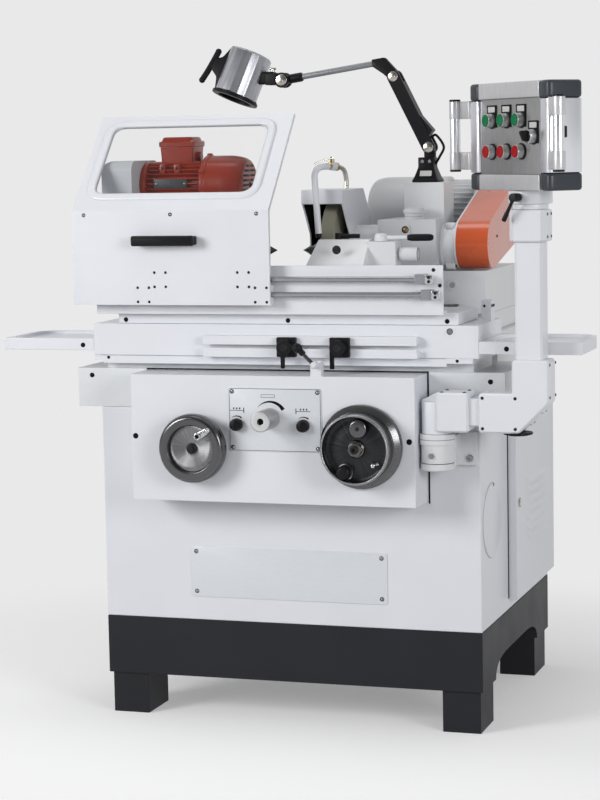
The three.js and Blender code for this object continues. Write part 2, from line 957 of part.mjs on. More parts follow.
// Reversing lever: a boss on the post's front, an arm and a ball
function reversingLever() {
  const face = postY - postDepth / 2 - seatGap;
  const bossZ = postTop - leverBossRadius;
  const y = face - leverRodRadius - overlap;
  const boss = barY(leverBossRadius, postX, [y - leverRodRadius, face], bossZ, coarseSides);
  const reach = Math.hypot(leverKnobX - postX, leverKnobZ - bossZ);
  const lean = Math.atan2(leverKnobX - postX, leverKnobZ - bossZ);
  const rod = barZ(leverRodRadius, 0, 0, [0, reach], coarseSides);
  rod.rotateY(lean).translate(postX, y, bossZ);
  const ball = new THREE.SphereGeometry(leverKnobRadius, coarseSides, arcSteps);
  ball.translate(leverKnobX, y, leverKnobZ);
  return join(boss, rod, ball);
}

// A plain knob on the apron's face, turned from bar
function knob(x, z, radius, length) {
  const face = -apronDepth - seatGap;
  const profile = [
    [0, face],
    [radius, face],
    [radius, face - length + knobChamfer],
    [radius - knobChamfer, face - length],
    [0, face - length],
  ];
  return turned(profile.toReversed()).translate(x, 0, z);
}

// Table handwheel: a shaft end, a tapered rim and a dished bright disc
function tableHandwheel() {
  const face = -apronDepth - seatGap;
  const back = face - wheelStandoff;
  const front = back - tableWheelRim;
  const profile = [
    [0, face],
    [wheelShaftRadius, face],
    [wheelShaftRadius, back],
    [tableWheelFaceRadius, back],
    [tableWheelRadius, back - tableWheelDish / 2],
    [tableWheelRadius, front + tableWheelDish],
    [tableWheelFaceRadius, front],
    [tableWheelDiscRadius + overlap, front],
    [tableWheelDiscRadius, front + tableWheelDish],
    [tableWheelHubRadius, front + tableWheelDish],
    [tableWheelHubRadius, front],
    [0, front],
  ];
  return turned(profile.toReversed(), fineSides).translate(tableWheelX, 0, tableWheelZ);
}

// Folding crank: a boss on the handwheel's disc and a link that clears the rim
function tableCrank() {
  const rim = -apronDepth - seatGap - wheelStandoff - tableWheelRim;
  const near = rim - overlap;
  const far = near - crankThickness;
  const rise = THREE.MathUtils.degToRad(crankRise);
  const knobX = crankX + crankLength * Math.cos(rise);
  const knobZ = crankZ + crankLength * Math.sin(rise);
  const bridge = slab([0, crankLength], [far, near], [-crankKnobRadius, crankKnobRadius]);
  bridge.rotateY(-rise).translate(crankX, 0, crankZ);
  return join(
    barY(crankBossRadius, crankX, [far - overlap, rim + tableWheelDish - seatGap], crankZ, coarseSides),
    barY(crankKnobRadius, knobX, [far, near], knobZ, coarseSides),
    bridge,
  );
}

// Cross-feed handwheel: dial ring, dished wheel and its two knobs
function crossFeedHandwheel() {
  const face = -apronDepth - seatGap;
  const dialFront = face - dialThickness;
  const front = dialFront - crossWheelDepth;
  const profile = [
    [0, face],
    [dialRadius, face],
    [dialRadius, dialFront + dialThickness / 2],
    [crossWheelRadius, dialFront],
    [crossWheelRadius, front],
    [crossWheelRadius - crossWheelRim, front],
    [crossWheelRadius - crossWheelRim, front + crossWheelDish],
    [crossWheelHubRadius, front + crossWheelDish],
    [crossWheelHubRadius, front],
    [0, front],
  ];
  const wheel = turned(profile.toReversed(), fineSides).translate(crossWheelX, 0, crossWheelZ);
  const floor = front + crossWheelDish + overlap;
  const fineKnob = barY(
    fineKnobRadius,
    crossWheelX + fineKnobShiftX,
    [front - fineKnobRise + crossWheelDish, floor],
    crossWheelZ + fineKnobShiftZ,
  );
  const foldKnob = barY(
    foldKnobRadius,
    crossWheelX + foldKnobShiftX,
    [front - overlap, floor],
    crossWheelZ + foldKnobShiftZ,
  );
  return join(wheel, fineKnob, foldKnob);
}

// Lower table: the long casting, its front lip, dog rail with a T-slot and end stop
function lowerTable() {
  const body = slab(
    [-tableHalfLength, tableHalfLength],
    [tableFront, tableBack],
    [tableEdge, tableTop],
  );
  const under = slab(
    [-tableHalfLength, tableUnderRight],
    [tableFront + tableInset, tableBack],
    [tableSeat, tableEdge + overlap],
  );
  const lip = slab(
    [-tableLipLeft, tableLipRight],
    [tableFront + tableInset, tableFront + tableLipDepth],
    [tableLip, tableSeat + overlap],
  );
  const rail = slab(
    [dogRailLeft, dogRailRight],
    [tableFront - dogRailDepth, tableFront + overlap],
    [dogRailBottom, dogRailTop],
  );
  const middle = (dogRailBottom + dogRailTop) / 2;
  const span = [dogRailLeft - overrun, dogRailRight + overrun];
  const mouth = slab(
    span,
    [tableFront - dogRailDepth - overrun, tableFront - overlap],
    [middle - slotMouth / 2, middle + slotMouth / 2],
  );
  const floor = slab(
    span,
    [tableFront - dogRailDepth + slotLip, tableFront - overlap],
    [middle - slotFloor / 2, middle + slotFloor / 2],
  );
  const stop = slab(
    [stopLeft, stopLeft + stopWidth],
    [stopFront, stopFront + stopDepth],
    [tableTop - overlap, stopTop],
  );
  return join(cut(join(body, under, lip, rail), mouth, floor), stop);
}

// Splash wing at one end of the table, with a shallow tray in its top
function rightWing() {
  const inner = tableHalfLength + seatGap;
  const shape = new THREE.Shape();
  shape.moveTo(inner, tableFront);
  shape.lineTo(wingReach, tableFront);
  shape.lineTo(wingReach, tableBack - wingCorner);
  shape.absarc(wingReach - wingCorner, tableBack - wingCorner, wingCorner, 0, quarterTurn);
  shape.lineTo(inner, tableBack);
  const tray = roundedRectangle(
    [inner + wingEdge, wingReach - wingEdge],
    [tableFront + wingEdge, tableBack - wingEdge],
    wingCorner - wingEdge,
  );
  return cut(
    alongZ(shape, [wingBottom, wingTop]),
    alongZ(tray, [wingTop - wingEdge, wingTop + overrun]),
  );
}

// The left wing is the right one's mirror image
function leftWing() {
  const piece = rightWing();
  const place = piece.getAttribute("position");
  const index = piece.getIndex();
  for (let i = 0; i < place.count; i += 1) place.setX(i, -place.getX(i));
  for (let i = 0; i < index.count; i += 3) {
    const first = index.getX(i);
    index.setX(i, index.getX(i + 1));
    index.setX(i + 1, first);
  }
  piece.computeVertexNormals();
  return piece;
}

// Reversing dog: a plate over the dog rail with a drum and a finger below
function dog(x, fingerShift) {
  const face = tableFront - dogRailDepth - seatGap;
  const middle = (dogRailBottom + dogRailTop) / 2;
  const finger = x + fingerShift;
  return join(
    slab(
      [x - dogSpread / 2, x + dogSpread / 2],
      [face - dogPlate, face],
      [middle - dogRise, middle + dogRise],
    ),
    barY(dogDrumRadius, x, [face - dogPlate - dogDrumLength, face - overlap], middle),
    slab(
      [finger - dogFingerWidth / 2, finger + dogFingerWidth / 2],
      [face - dogPlate, face - dogPlate + dogFingerThickness],
      [middle - dogRise - dogFingerReach, middle - dogRise + overlap],
    ),
  );
}

// Upper table, which swivels on the lower one
function upperTable() {
  return slab(
    [upperTableLeft, upperTableRight],
    [upperTableFront, upperTableBack],
    [tableTop + seatGap, upperTableTop],
  );
}

// Guard panel: an upright sheet with a shelf that lies on the upper table
function guardPanel() {
  const shelf = upperTableTop + seatGap;
  return join(
    slab([panelLeft, panelRight], [panelFront, panelFront + panelSheet], [panelBottom, panelTop]),
    slab(
      [panelLeft, panelRight],
      [panelFront, panelFront + panelSheet + panelShelf],
      [shelf, shelf + panelSheet],
    ),
  );
}

// One guard rod with the bracket that clamps each of its ends to the panel
function guardRod(z, right) {
  const pieces = [barX(rodRadius, [rodLeft, right], rodY, z, coarseSides)];
  for (const end of [rodLeft, right - rodBracketLength]) {
    pieces.push(
      slab(
        [end, end + rodBracketLength],
        [rodY - rodRadius - overlap, panelFront - seatGap],
        [z - rodBracketHeight / 2, z + rodBracketHeight / 2],
      ),
    );
  }
  return join(...pieces);
}

// The slant of the guard door's window panel
const slantLength = Math.hypot(guardTopY - guardFront, guardTop - guardFold);
const slantY = (guardTopY - guardFront) / slantLength;
const slantZ = (guardTop - guardFold) / slantLength;

// Moves a shape drawn across X and up the slant onto the window panel's outer face
function ontoSlant(geometry) {
  const frame = new THREE.Matrix4().makeBasis(
    new THREE.Vector3(1, 0, 0),
    new THREE.Vector3(0, slantY, slantZ),
    new THREE.Vector3(0, -slantZ, slantY),
  );
  return geometry.applyMatrix4(frame).translate(0, guardFront, guardFold);
}

// The folded section of the guard door, as deep as asked behind its outer face
function guardSection(depth) {
  const bend = depth * (1 - slantZ) / slantY;
  return outline([
    [guardFront, guardBottom],
    [guardFront + depth, guardBottom],
    [guardFront + depth, guardFold - bend],
    [guardTopY + depth * slantZ, guardTop - depth * slantY],
    [guardTopY, guardTop],
    [guardFront, guardFold],
  ]);
}

// Guard door: folded sheet with side returns, window opening and four rod bearings
function guardDoor() {
  const sheet = alongX(guardSection(guardSheet), [guardLeft, guardRight]);
  const leftReturn = alongX(guardSection(guardReturn), [guardLeft, guardLeft + guardSheet]);
  const rightReturn = alongX(guardSection(guardReturn), [guardRight - guardSheet, guardRight]);
  const opening = ontoSlant(
    extruded(
      roundedRectangle([windowLeft, windowRight], [windowLow, windowHigh], windowCorner),
      2 * overrun + guardSheet,
    ).translate(0, 0, -guardSheet - overrun),
  );
  const bearings = [];
  const bores = [];
  const places = [
    [upperBearingLeftX, upperRodZ],
    [upperBearingRightX, upperRodZ],
    [lowerBearingLeftX, lowerRodZ],
    [lowerBearingRightX, lowerRodZ],
  ];
  for (const [x, z] of places) {
    const inner = guardFront + guardSheet;
    bearings.push(
      slab(
        [x - bearingWidth / 2, x + bearingWidth / 2],
        [inner - overlap, inner + bearingDepth],
        [z - bearingHeight / 2, z + bearingHeight / 2],
      ),
    );
    const bore = [x - bearingWidth / 2 - overrun, x + bearingWidth / 2 + overrun];
    bores.push(barX(rodRadius + runGap, bore, rodY, z, coarseSides));
  }
  const notches = [upperRodZ, lowerRodZ].map((z) =>
    slab(
      [guardLeft - overrun, guardRight + overrun],
      [rodY - rodRadius - 2 * overlap, guardFront + guardReturn + overrun],
      [z - rodBracketHeight / 2 - overlap, z + rodBracketHeight / 2 + overlap],
    ),
  );
  const returns = cut(join(sheet, leftReturn, rightReturn), opening, ...notches);
  return cut(join(returns, ...bearings), ...bores);
}

// Window pane, held inside the opening's edge
function doorWindow() {
  const pane = roundedRectangle(
    [windowLeft + seatGap, windowRight - seatGap],
    [windowLow + seatGap, windowHigh - seatGap],
    windowCorner,
  );
  return ontoSlant(extruded(pane, windowGlass).translate(0, 0, -windowGlass));
}

// Door handle: a bar with two ends that stand off the door
function doorHandle() {
  const face = guardFront - seatGap;
  const [low, high] = [gripZ - gripHeight / 2, gripZ + gripHeight / 2];
  return join(
    slab([gripLeft, gripRight], [face - gripReach, face - gripReach + gripWall], [low, high]),
    slab([gripLeft, gripLeft + gripEnd], [face - gripReach, face], [low, high]),
    slab([gripRight - gripEnd, gripRight], [face - gripReach, face], [low, high]),
  );
}

// Workhead: swivel base, round-topped body and the seat of its motor
function workheadBody() {
  const shape = new THREE.Shape();
  shape.moveTo(workheadFront, workheadWaist - overlap);
  shape.lineTo(workheadBack, workheadWaist - overlap);
  shape.lineTo(workheadBack, workheadTop);
  shape.lineTo(workheadFront + workheadRound, workheadTop);
  shape.absarc(
    workheadFront + workheadRound,
    workheadTop - workheadRound,
    workheadRound,
    quarterTurn,
    2 * quarterTurn,
  );
  const body = alongX(shape, [workheadLeft, workheadRight]);
  const base = barZ(
    (workheadBack - workheadFront) / 2,
    (workheadLeft + workheadRight) / 2,
    (workheadFront + workheadBack) / 2,
    [upperTableTop + seatGap, workheadWaist],
    fineSides,
  );
  const bore = barX(
    workSpindleRadius + runGap,
    [workheadLeft - overrun, workheadRight + overrun],
    workY,
    workZ,
  );
  return cut(join(body, base), bore);
}

// Red motor of the workhead: ribbed body, fan cowl, foot and terminal box
function workheadMotor() {
  const cowlLeft = workMotorRight - workCowlLength;
  const body = barX(
    workMotorRadius,
    [workheadLeft, cowlLeft + overlap],
    workMotorY,
    workMotorZ,
    fineSides,
  );
  const cowlEdge = workCowlLength / arcSteps;
  const cowl = turned(
    [
      [0, workCowlLength],
      [workMotorRadius - cowlEdge, workCowlLength],
      [workCowlRadius - cowlEdge / 2, workCowlLength - cowlEdge / 2],
      [workCowlRadius, workCowlLength - 2 * cowlEdge],
      [workCowlRadius, 0],
      [0, 0],
    ].toReversed(),
    fineSides,
  );
  cowl.rotateZ(-quarterTurn).translate(cowlLeft, workMotorY, workMotorZ);
  const foot = slab(
    [workheadLeft + workMotorFoot / 2, cowlLeft],
    [workMotorY - workMotorFoot / 2, workheadBack],
    [workheadTop + seatGap, workMotorZ - workMotorRadius / 2],
  );
  const box = slab(
    [terminalLeft, terminalLeft + terminalWidth],
    [terminalFront, terminalFront + terminalDepth],
    [workMotorZ, terminalLidZ + overlap],
  );
  const lid = slab(
    [terminalLeft - terminalLip, terminalLeft + terminalWidth + terminalLip],
    [terminalFront - terminalLip, terminalFront + terminalDepth + terminalLip],
    [terminalLidZ, terminalTop],
  );
  const socket = barX(
    workShaftRadius + runGap,
    [workheadLeft - overrun, workheadLeft + workShaftDepth],
    workMotorY,
    workMotorZ,
    coarseSides,
  );
  return cut(join(body, cowl, foot, box, lid), socket);
}

// Belt cover at the workhead's left end, open towards the pulleys
function workheadBeltCover() {
  const right = workheadLeft - seatGap;
  const shell = (wall) => {
    const span = [workCoverLeft + wall, right + (wall > 0 ? overrun : 0)];
    const height = [workCoverBottom + wall, workCoverTop - wall];
    const round = workCoverRound - wall;
    const side = roundedRectangle([workCoverFront + wall, workCoverBack - wall], height, round);
    const front = roundedRectangle([span[0], span[1] + 2 * workCoverRound], height, round);
    const depth = [workCoverFront - overrun, workCoverBack + overrun];
    return solid(alongX(side, span)).intersect(solid(alongY(front, depth)));
  };
  return geometryOf(shell(0).subtract(shell(workCoverWall)));
}

// Workhead spindle: pulley end, shaft, nose and dead centre
function workheadSpindle() {
  const noseLeft = workheadRight + seatGap;
  const pulleyRight = workheadLeft - seatGap - overrun;
  const centreRight = noseLeft + noseLength + centreLength;
  const profile = [
    [0, pulleyRight - workPulleyWidth],
    [workPulleyRadius, pulleyRight - workPulleyWidth],
    [workPulleyRadius, pulleyRight],
    [workSpindleRadius, pulleyRight],
    [workSpindleRadius, noseLeft],
    [noseRadius, noseLeft],
    [noseRadius, noseLeft + noseLength],
    [centreRadius, noseLeft + noseLength],
    [centreRadius, centreRight - centreCone],
    [0, centreRight],
  ];
  return turned(profile).rotateZ(-quarterTurn).translate(0, workY, workZ);
}

// Pulley and shaft end of the workhead motor
function workheadMotorPulley() {
  const pulleyRight = workheadLeft - seatGap - overrun;
  const left = pulleyRight - workPulleyWidth;
  const profile = [
    [0, left],
    [workMotorPulleyRadius, left],
    [workMotorPulleyRadius, left + workPulleyWidth],
    [workShaftRadius, left + workPulleyWidth],
    [workShaftRadius, workheadLeft + workShaftDepth - overlap],
    [0, workheadLeft + workShaftDepth - overlap],
  ];
  return turned(profile).rotateZ(-quarterTurn).translate(0, workMotorY, workMotorZ);
}

// A flat belt round two pulleys, clear of both by the running gap
function belt([y1, z1, r1], [y2, z2, r2], thickness, span) {
  const outer = beltOutline(
    [y1, z1, r1 + runGap + thickness],
    [y2, z2, r2 + runGap + thickness],
  );
  const inner = beltOutline([y1, z1, r1 + runGap], [y2, z2, r2 + runGap]);
  const wide = [span[0] - overrun, span[1] + overrun];
  return cut(alongX(outer, span), alongX(inner, wide));
}

// Tailstock: a slope-topped casting with the spring box at its right end
function tailstockBody() {
  const base = upperTableTop + seatGap;
  const section = outline([
    [tailFront, base],
    [tailFootBack, base],
    [tailFootBack, tailFootTop],
    [tailBack, tailFootTop],
    [tailBack, tailShoulder],
    [workY + quillRadius + overrun, tailTop],
    [tailFlatFront, tailTop],
    [tailFront, tailShoulder],
  ]);
  const casting = alongX(section, [tailLeft, tailRight]);
  const slant = alongY(
    outline([
      [tailLeft - overrun, tailShoulder],
      [tailLeft, tailShoulder],
      [tailLeft + tailEndSlant, tailTop + overrun],
      [tailLeft - overrun, tailTop + overrun],
    ]),
    [tailFront - overrun, tailBack + overrun],
  );
  const springBox = slab(
    [tailRight - overlap, tailBoxRight],
    [workY - tailBoxDepth / 2, workY + tailBoxDepth / 2],
    [tailBoxBottom, tailBoxTop],
  );
  const foot = slab(
    [tailRight - overlap, tailBoxRight],
    [tailFront, tailFootBack],
    [base, tailFootTop],
  );
  const web = slab(
    [tailRight - overlap, tailBoxRight - tailBossRadius],
    [workY - tailBossRadius, workY + tailBossRadius],
    [base, tailBoxBottom + overlap],
  );
  const knobEnd = tailBoxRight + tailKnobLength;
  const knobBar = barX(tailKnobRadius / 2, [tailBoxRight - overlap, knobEnd], workY, tailKnobZ);
  const knobHead = barX(
    tailKnobRadius,
    [tailBoxRight + overrun, knobEnd],
    workY,
    tailKnobZ,
  );
  const bore = barX(
    quillRadius + runGap,
    [tailLeft - overrun, tailRight + tailBossRadius],
    workY,
    workZ,
  );
  return cut(join(cut(casting, slant), springBox, foot, web, knobBar, knobHead), bore);
}

// Tailstock quill with its centre point
function tailstockQuill() {
  const profile = [
    [0, tipX],
    [tipRadius, tipX + tipLength],
    [tipRadius, tailLeft],
    [quillRadius, tailLeft + overrun],
    [quillRadius, quillBack],
    [0, quillBack],
  ];
  return turned(profile).rotateZ(-quarterTurn).translate(0, workY, workZ);
}

// Quill lever: a boss on the spring box, an arm and a black grip
function tailstockLever() {
  const base = tailBoxTop + seatGap;
  const gripLeftX = tailLeverX + tailArmLength - tailGripLength;
  return join(
    barZ(tailBossRadius, tailLeverX, workY, [base, tailBossTop]),
    barX(tailArmRadius, [tailLeverX, gripLeftX + overlap], workY, tailArmZ, coarseSides),
    barX(
      tailGripRadius,
      [gripLeftX, gripLeftX + tailGripLength],
      workY,
      tailArmZ,
      coarseSides,
    ),
  );
}

// Small quill lock on the tailstock's top
function tailstockLock() {
  const base = tailTop + seatGap;
  return join(
    barZ(lockHubRadius, lockX, workY, [base, base + lockHubHeight], coarseSides),
    barX(lockRadius, [lockX, lockX + lockLength], workY, base + lockHubHeight / 2, coarseSides),
  );
}

// Dovetail outline that guides the wheel head, grown all round by a clearance
function dovetail(clearance, base) {
  const middle = (slideLeft + slideRight) / 2;
  return outline([
    [middle - dovetailNeck / 2 - clearance, base],
    [middle + dovetailNeck / 2 + clearance, base],
    [middle + dovetailHead / 2 + clearance, slideTop + dovetailHeight + clearance],
    [middle - dovetailHead / 2 - clearance, slideTop + dovetailHeight + clearance],
  ]);
}

// Cross slide: a fixed base on the bed's platform with a dovetail along Y
function crossSlide() {
  return join(
    slab([slideLeft, slideRight], [slideFront, slideBack], [platformTop + seatGap, slideTop]),
    alongY(dovetail(0, slideTop - overlap), [slideFront, slideBack]),
  );
}

// Wheel head: block, spindle sleeve, gearbox, lamp box, filler cap and motor seat
function wheelheadBody() {
  const base = slideTop + seatGap;
  const sleeveLeft = guardBoxRight + seatGap;
  const plateRight = coverLeft - seatGap;
  const body = join(
    slab([slideLeft, slideRight], [headFront, headBack], [base, headShoulder]),
    slab([boxLeft, boxRight], [boxFront, boxBack], [headShoulder - overlap, boxTop]),
    barX(sleeveRadius, [sleeveLeft, plateRight], wheelY, workZ, fineSides),
    alongX(coverOutline(0), [plateRight - backPlate, plateRight]),
    slab([lampBoxLeft, lampBoxRight], [lampBoxFront, boxBack], [boxTop - overlap, lampBoxTop]),
    barZ(fillerRadius, fillerX, fillerY, [boxTop - overlap, boxTop + fillerRise]),
    slab(
      [slideLeft, motorRight],
      [motorBracketFront, motorBracketBack],
      [headShoulder - overlap, motorBracketTop],
    ),
    slab(
      [boxLeft, boxRight],
      [boxBack - overlap, motorBracketFront + overlap],
      [headShoulder - overlap, motorBracketTop],
    ),
  );
  const ends = [sleeveLeft - overrun, plateRight + overrun];
  const bore = barX(spindleRadius + runGap, ends, wheelY, workZ);
  const shaftHole = barX(motorPulleyHub, [motorRight, plateRight + overrun], motorY, motorZ);
  const slot = alongY(dovetail(runGap, base - overrun), [headFront - overrun, headBack + overrun]);
  return cut(body, bore, shaftHole, slot);
}

// Wheel guard: a narrow box open at its lower front, where the wheel shows
function wheelGuard() {
  const shape = [
    [guardRimFront, guardBoxTop],
    [guardRimFront, guardRimBottom],
    [guardRimFront + guardWall, guardRimBottom],
    [guardLipY, guardLipZ],
    [guardHeelY, guardBoxBottom],
    [guardBack, guardBoxBottom],
    [guardBack, guardBackKnee],
    [guardTopBack, guardBoxTop],
  ];
  const hollow = [
    [guardRimFront + guardWall, guardBoxTop - guardWall],
    [guardRimFront + guardWall, guardRimBottom - overrun],
    [guardRimFront - guardRimBottom + guardBoxBottom, guardBoxBottom + guardWall],
    [guardBack - guardWall, guardBoxBottom + guardWall],
    [guardBack - guardWall, guardBackKnee - overlap],
    [guardTopBack - overlap, guardBoxTop - guardWall],
  ];
  const shaftHole = barX(
    spindleRadius + guardWall,
    [guardBoxRight - guardWall - overrun, guardBoxRight + overrun],
    wheelY,
    workZ,
  );
  return cut(
    alongX(outline(shape), [guardBoxLeft, guardBoxRight]),
    alongX(outline(hollow), [guardBoxLeft + guardWall, guardBoxRight - guardWall]),
    shaftHole,
  );
}

// Grinding wheel, a plain ring of bonded grit
function grindingWheel() {
  const profile = [
    [wheelBore, wheelLeft],
    [wheelRadius, wheelLeft],
    [wheelRadius, wheelLeft + wheelWidth],
    [wheelBore, wheelLeft + wheelWidth],
    [wheelBore, wheelLeft],
  ];
  return turned(profile, fineSides).rotateZ(-quarterTurn).translate(0, wheelY, workZ);
}

// Wheel spindle: the wheel's hub and flanges, the shaft and the driven pulley
function wheelSpindle() {
  const left = wheelLeft - seatGap;
  const right = wheelLeft + wheelWidth + seatGap;
  const profile = [
    [0, left - flangeThickness],
    [flangeRadius, left - flangeThickness],
    [flangeRadius, left],
    [wheelBore - seatGap, left],
    [wheelBore - seatGap, right],
    [flangeRadius, right],
    [flangeRadius, right + flangeThickness],
    [spindleRadius, right + flangeThickness],
    [spindleRadius, pulleyLeft],
    [spindlePulleyRadius, pulleyLeft],
    [spindlePulleyRadius, pulleyLeft + pulleyWidth],
    [0, pulleyLeft + pulleyWidth],
  ];
  return turned(profile).rotateZ(-quarterTurn).translate(0, wheelY, workZ);
}

// Wheel motor: ribbed body, domed cowl and foot
function wheelMotor() {
  const cowlRight = motorLeft + motorCowlLength;
  const dome = [[0, motorLeft]];
  for (let i = 1; i <= arcSteps / 2; i += 1) {
    const turn = (i / (arcSteps / 2)) * quarterTurn;
    dome.push([
      motorCowlRadius - motorDome + motorDome * Math.sin(turn),
      motorLeft + motorDome * (1 - Math.cos(turn)),
    ]);
  }
  dome.splice(1, 0, [motorCowlRadius - motorDome, motorLeft]);
  const cowl = turned(
    [...dome, [motorCowlRadius, cowlRight], [0, cowlRight]],
    fineSides,
  );
  cowl.rotateZ(-quarterTurn).translate(0, motorY, motorZ);
  const body = barX(motorRadius, [cowlRight - overlap, motorRight], motorY, motorZ, fineSides);
  const foot = slab(
    [cowlRight, motorRight - overrun],
    [motorY - motorRadius, motorY + motorRadius],
    [motorBracketTop + seatGap, motorZ - motorRadius / 2],
  );
  const socket = barX(
    motorShaftRadius + runGap,
    [motorRight - motorShaftDepth, motorRight + overrun],
    motorY,
    motorZ,
    coarseSides,
  );
  return cut(join(cowl, body, foot), socket);
}

// Pulley and shaft end of the wheel motor
function wheelMotorPulley() {
  const profile = [
    [0, motorRight - motorShaftDepth + overlap],
    [motorShaftRadius, motorRight - motorShaftDepth + overlap],
    [motorShaftRadius, pulleyLeft],
    [motorPulleyRadius, pulleyLeft],
    [motorPulleyRadius, pulleyLeft + pulleyWidth],
    [0, pulleyLeft + pulleyWidth],
  ];
  return turned(profile).rotateZ(-quarterTurn).translate(0, motorY, motorZ);
}

// Belt cover: a round-ended shell, open on the side of the wheel head
function coverOutline(wall) {
  return beltOutline(
    [wheelY, workZ + coverNoseRise, coverNoseRadius - wall],
    [motorY, motorZ, coverTailRadius - wall],
  );
}

function wheelBeltCover() {
  return cut(
    alongX(coverOutline(0), [coverLeft, coverRight]),
    alongX(coverOutline(coverWall), [coverLeft - overrun, coverRight - coverWall]),
  );
}

// Coolant pipe: from a flange on the guard's top over and down in front of the wheel
const pipeShares = [
  [0, 0, 0.06],
  [0, 0, 0.47],
  [0.1, 0.12, 0.89],
  [0.46, 0.51, 1],
  [0.85, 0.84, 0.96],
  [1, 0.97, 0.74],
  [1, 1, 0.36],
  [0.92, 1, -0.66],
];
const pipeRoute = pipeShares.map(([sway, reach, rise]) => [
  pipeFootX - sway * pipeSway,
  pipeFootY - reach * pipeReach,
  guardBoxTop + rise * pipeRise,
]);
pipeRoute.push([pipeFootX - nozzleSway, pipeFootY - pipeReach, nozzleBottom]);

function coolantPipe() {
  const base = guardBoxTop + seatGap;
  const [footX, footY] = pipeRoute[0];
  return join(
    tube(pipeRoute, pipeRadius, pipeSteps, arcSteps),
    barZ(pipeFlangeRadius, footX, footY, [base, base + pipeFlangeHeight], coarseSides),
  );
}

// Lamp base: a flange, a tapered foot, a block and a tongue for the lower hinge
function lampBase() {
  const base = lampBoxTop + seatGap;
  const flangeTop = base + lampFlange;
  const taper = new THREE.CylinderGeometry(
    lampNeck / Math.SQRT2,
    (lampFoot - overlap) / Math.SQRT2,
    lampTaperTop - flangeTop,
    4,
  );
  taper.rotateY(Math.PI / 4).rotateX(quarterTurn);
  taper.translate(lampX, lampY, (flangeTop + lampTaperTop) / 2);
  const square = (side) => [
    [lampX - side / 2, lampX + side / 2],
    [lampY - side / 2, lampY + side / 2],
  ];
  const thin = [lampY - tongueThickness / 2, lampY + tongueThickness / 2];
  const wide = [lampY - lampArmThickness / 2, lampY + lampArmThickness / 2];
  return join(
    slab(...square(lampFoot), [base, flangeTop + overlap / 2]),
    taper,
    slab(...square(lampNeck), [lampTaperTop - overlap / 2, lampNeckZ]),
    slab(
      [lampHipX - tongueRadius / 2, lampHipX + tongueRadius / 2],
      thin,
      [lampNeckZ - overlap, lampHipZ],
    ),
    barY(tongueRadius, lampHipX, thin, lampHipZ),
    barY(pinRadius, lampHipX, wide, lampHipZ, coarseSides),
  );
}

// Lower lamp arm: a black box forked at both ends
function lampLowerArm() {
  const length = Math.hypot(lampElbowX - lampHipX, lampElbowZ - lampHipZ);
  const half = lampArmThickness / 2;
  const slot = tongueThickness / 2 + seatGap;
  const reach = lampArmWidth / 2 + overrun;
  const hump = outline([
    [humpStart, -lampArmWidth / 2 + overlap],
    [humpPeak, -humpRise],
    [humpEnd, -lampArmWidth / 2 + overlap],
  ]);
  const arm = join(
    slab([0, length], [-half, half], [-lampArmWidth / 2, lampArmWidth / 2]),
    alongY(hump, [-half + overlap, half - overlap]),
    barY(lampArmWidth / 2, 0, [-half, half], 0),
    barY(lampArmWidth / 2, length, [-half, half], 0),
  );
  const forked = cut(
    arm,
    slab([-reach, reach], [-slot, slot], [-reach, reach]),
    slab([length - reach, length + reach], [-slot, slot], [-reach, reach]),
    barY(pinRadius + seatGap, 0, [-half - overrun, half + overrun], 0, coarseSides),
    barY(pinRadius + seatGap, length, [-half - overrun, half + overrun], 0, coarseSides),
  );
  const rise = Math.atan2(lampElbowZ - lampHipZ, lampElbowX - lampHipX);
  return forked.rotateY(-rise).translate(lampHipX, lampY, lampHipZ);
}

// Upper lamp arm: elbow block, bright tube and sleeve, with a tongue at each end
function lampUpperArm() {
  const tongue = [lampY - tongueThickness / 2, lampY + tongueThickness / 2];
  const wide = [lampY - lampArmThickness / 2, lampY + lampArmThickness / 2];
  const leanElbow = Math.atan2(elbowRiseX - lampElbowX, elbowRiseZ - lampElbowZ);
  const neckLength = Math.hypot(elbowRiseX - lampElbowX, elbowRiseZ - lampElbowZ);
  const neck = slab(
    [-tongueRadius / 2, tongueRadius / 2],
    [-tongueThickness / 2, tongueThickness / 2],
    [0, neckLength],
  );
  neck.rotateY(leanElbow).translate(lampElbowX, lampY, lampElbowZ);
  const run = Math.atan2(elbowRiseZ - lampWristZ - tongueRadius, elbowRiseX - lampWristX);
  const runLength = Math.hypot(
    elbowRiseX - lampWristX,
    elbowRiseZ - lampWristZ - tongueRadius,
  );
  const bar = join(
    barX(lampTubeRadius, [sleeveBlock, runLength], 0, 0, coarseSides),
    slab(
      [tongueRadius, sleeveBlockLength],
      [-sleeveBlock / 2, sleeveBlock / 2],
      [-sleeveBlock / 2, sleeveBlock / 2],
    ),
    slab(
      [runLength - elbowBlock, runLength + elbowBlock / 2],
      [-elbowBlock / 2, elbowBlock / 2],
      [-elbowBlock / 2, elbowBlock / 2],
    ),
  );
  bar.rotateY(-run).translate(lampWristX, lampY, lampWristZ + tongueRadius);
  return join(
    neck,
    bar,
    barY(tongueRadius, lampElbowX, tongue, lampElbowZ),
    barY(pinRadius, lampElbowX, wide, lampElbowZ, coarseSides),
    barY(tongueRadius, lampWristX, tongue, lampWristZ),
    slab(
      [lampWristX, lampWristX + tongueRadius + overlap],
      tongue,
      [lampWristZ, lampWristZ + tongueRadius + sleeveBlock / 2],
    ),
    barY(pinRadius, lampWristX, wide, lampWristZ, coarseSides),
  );
}

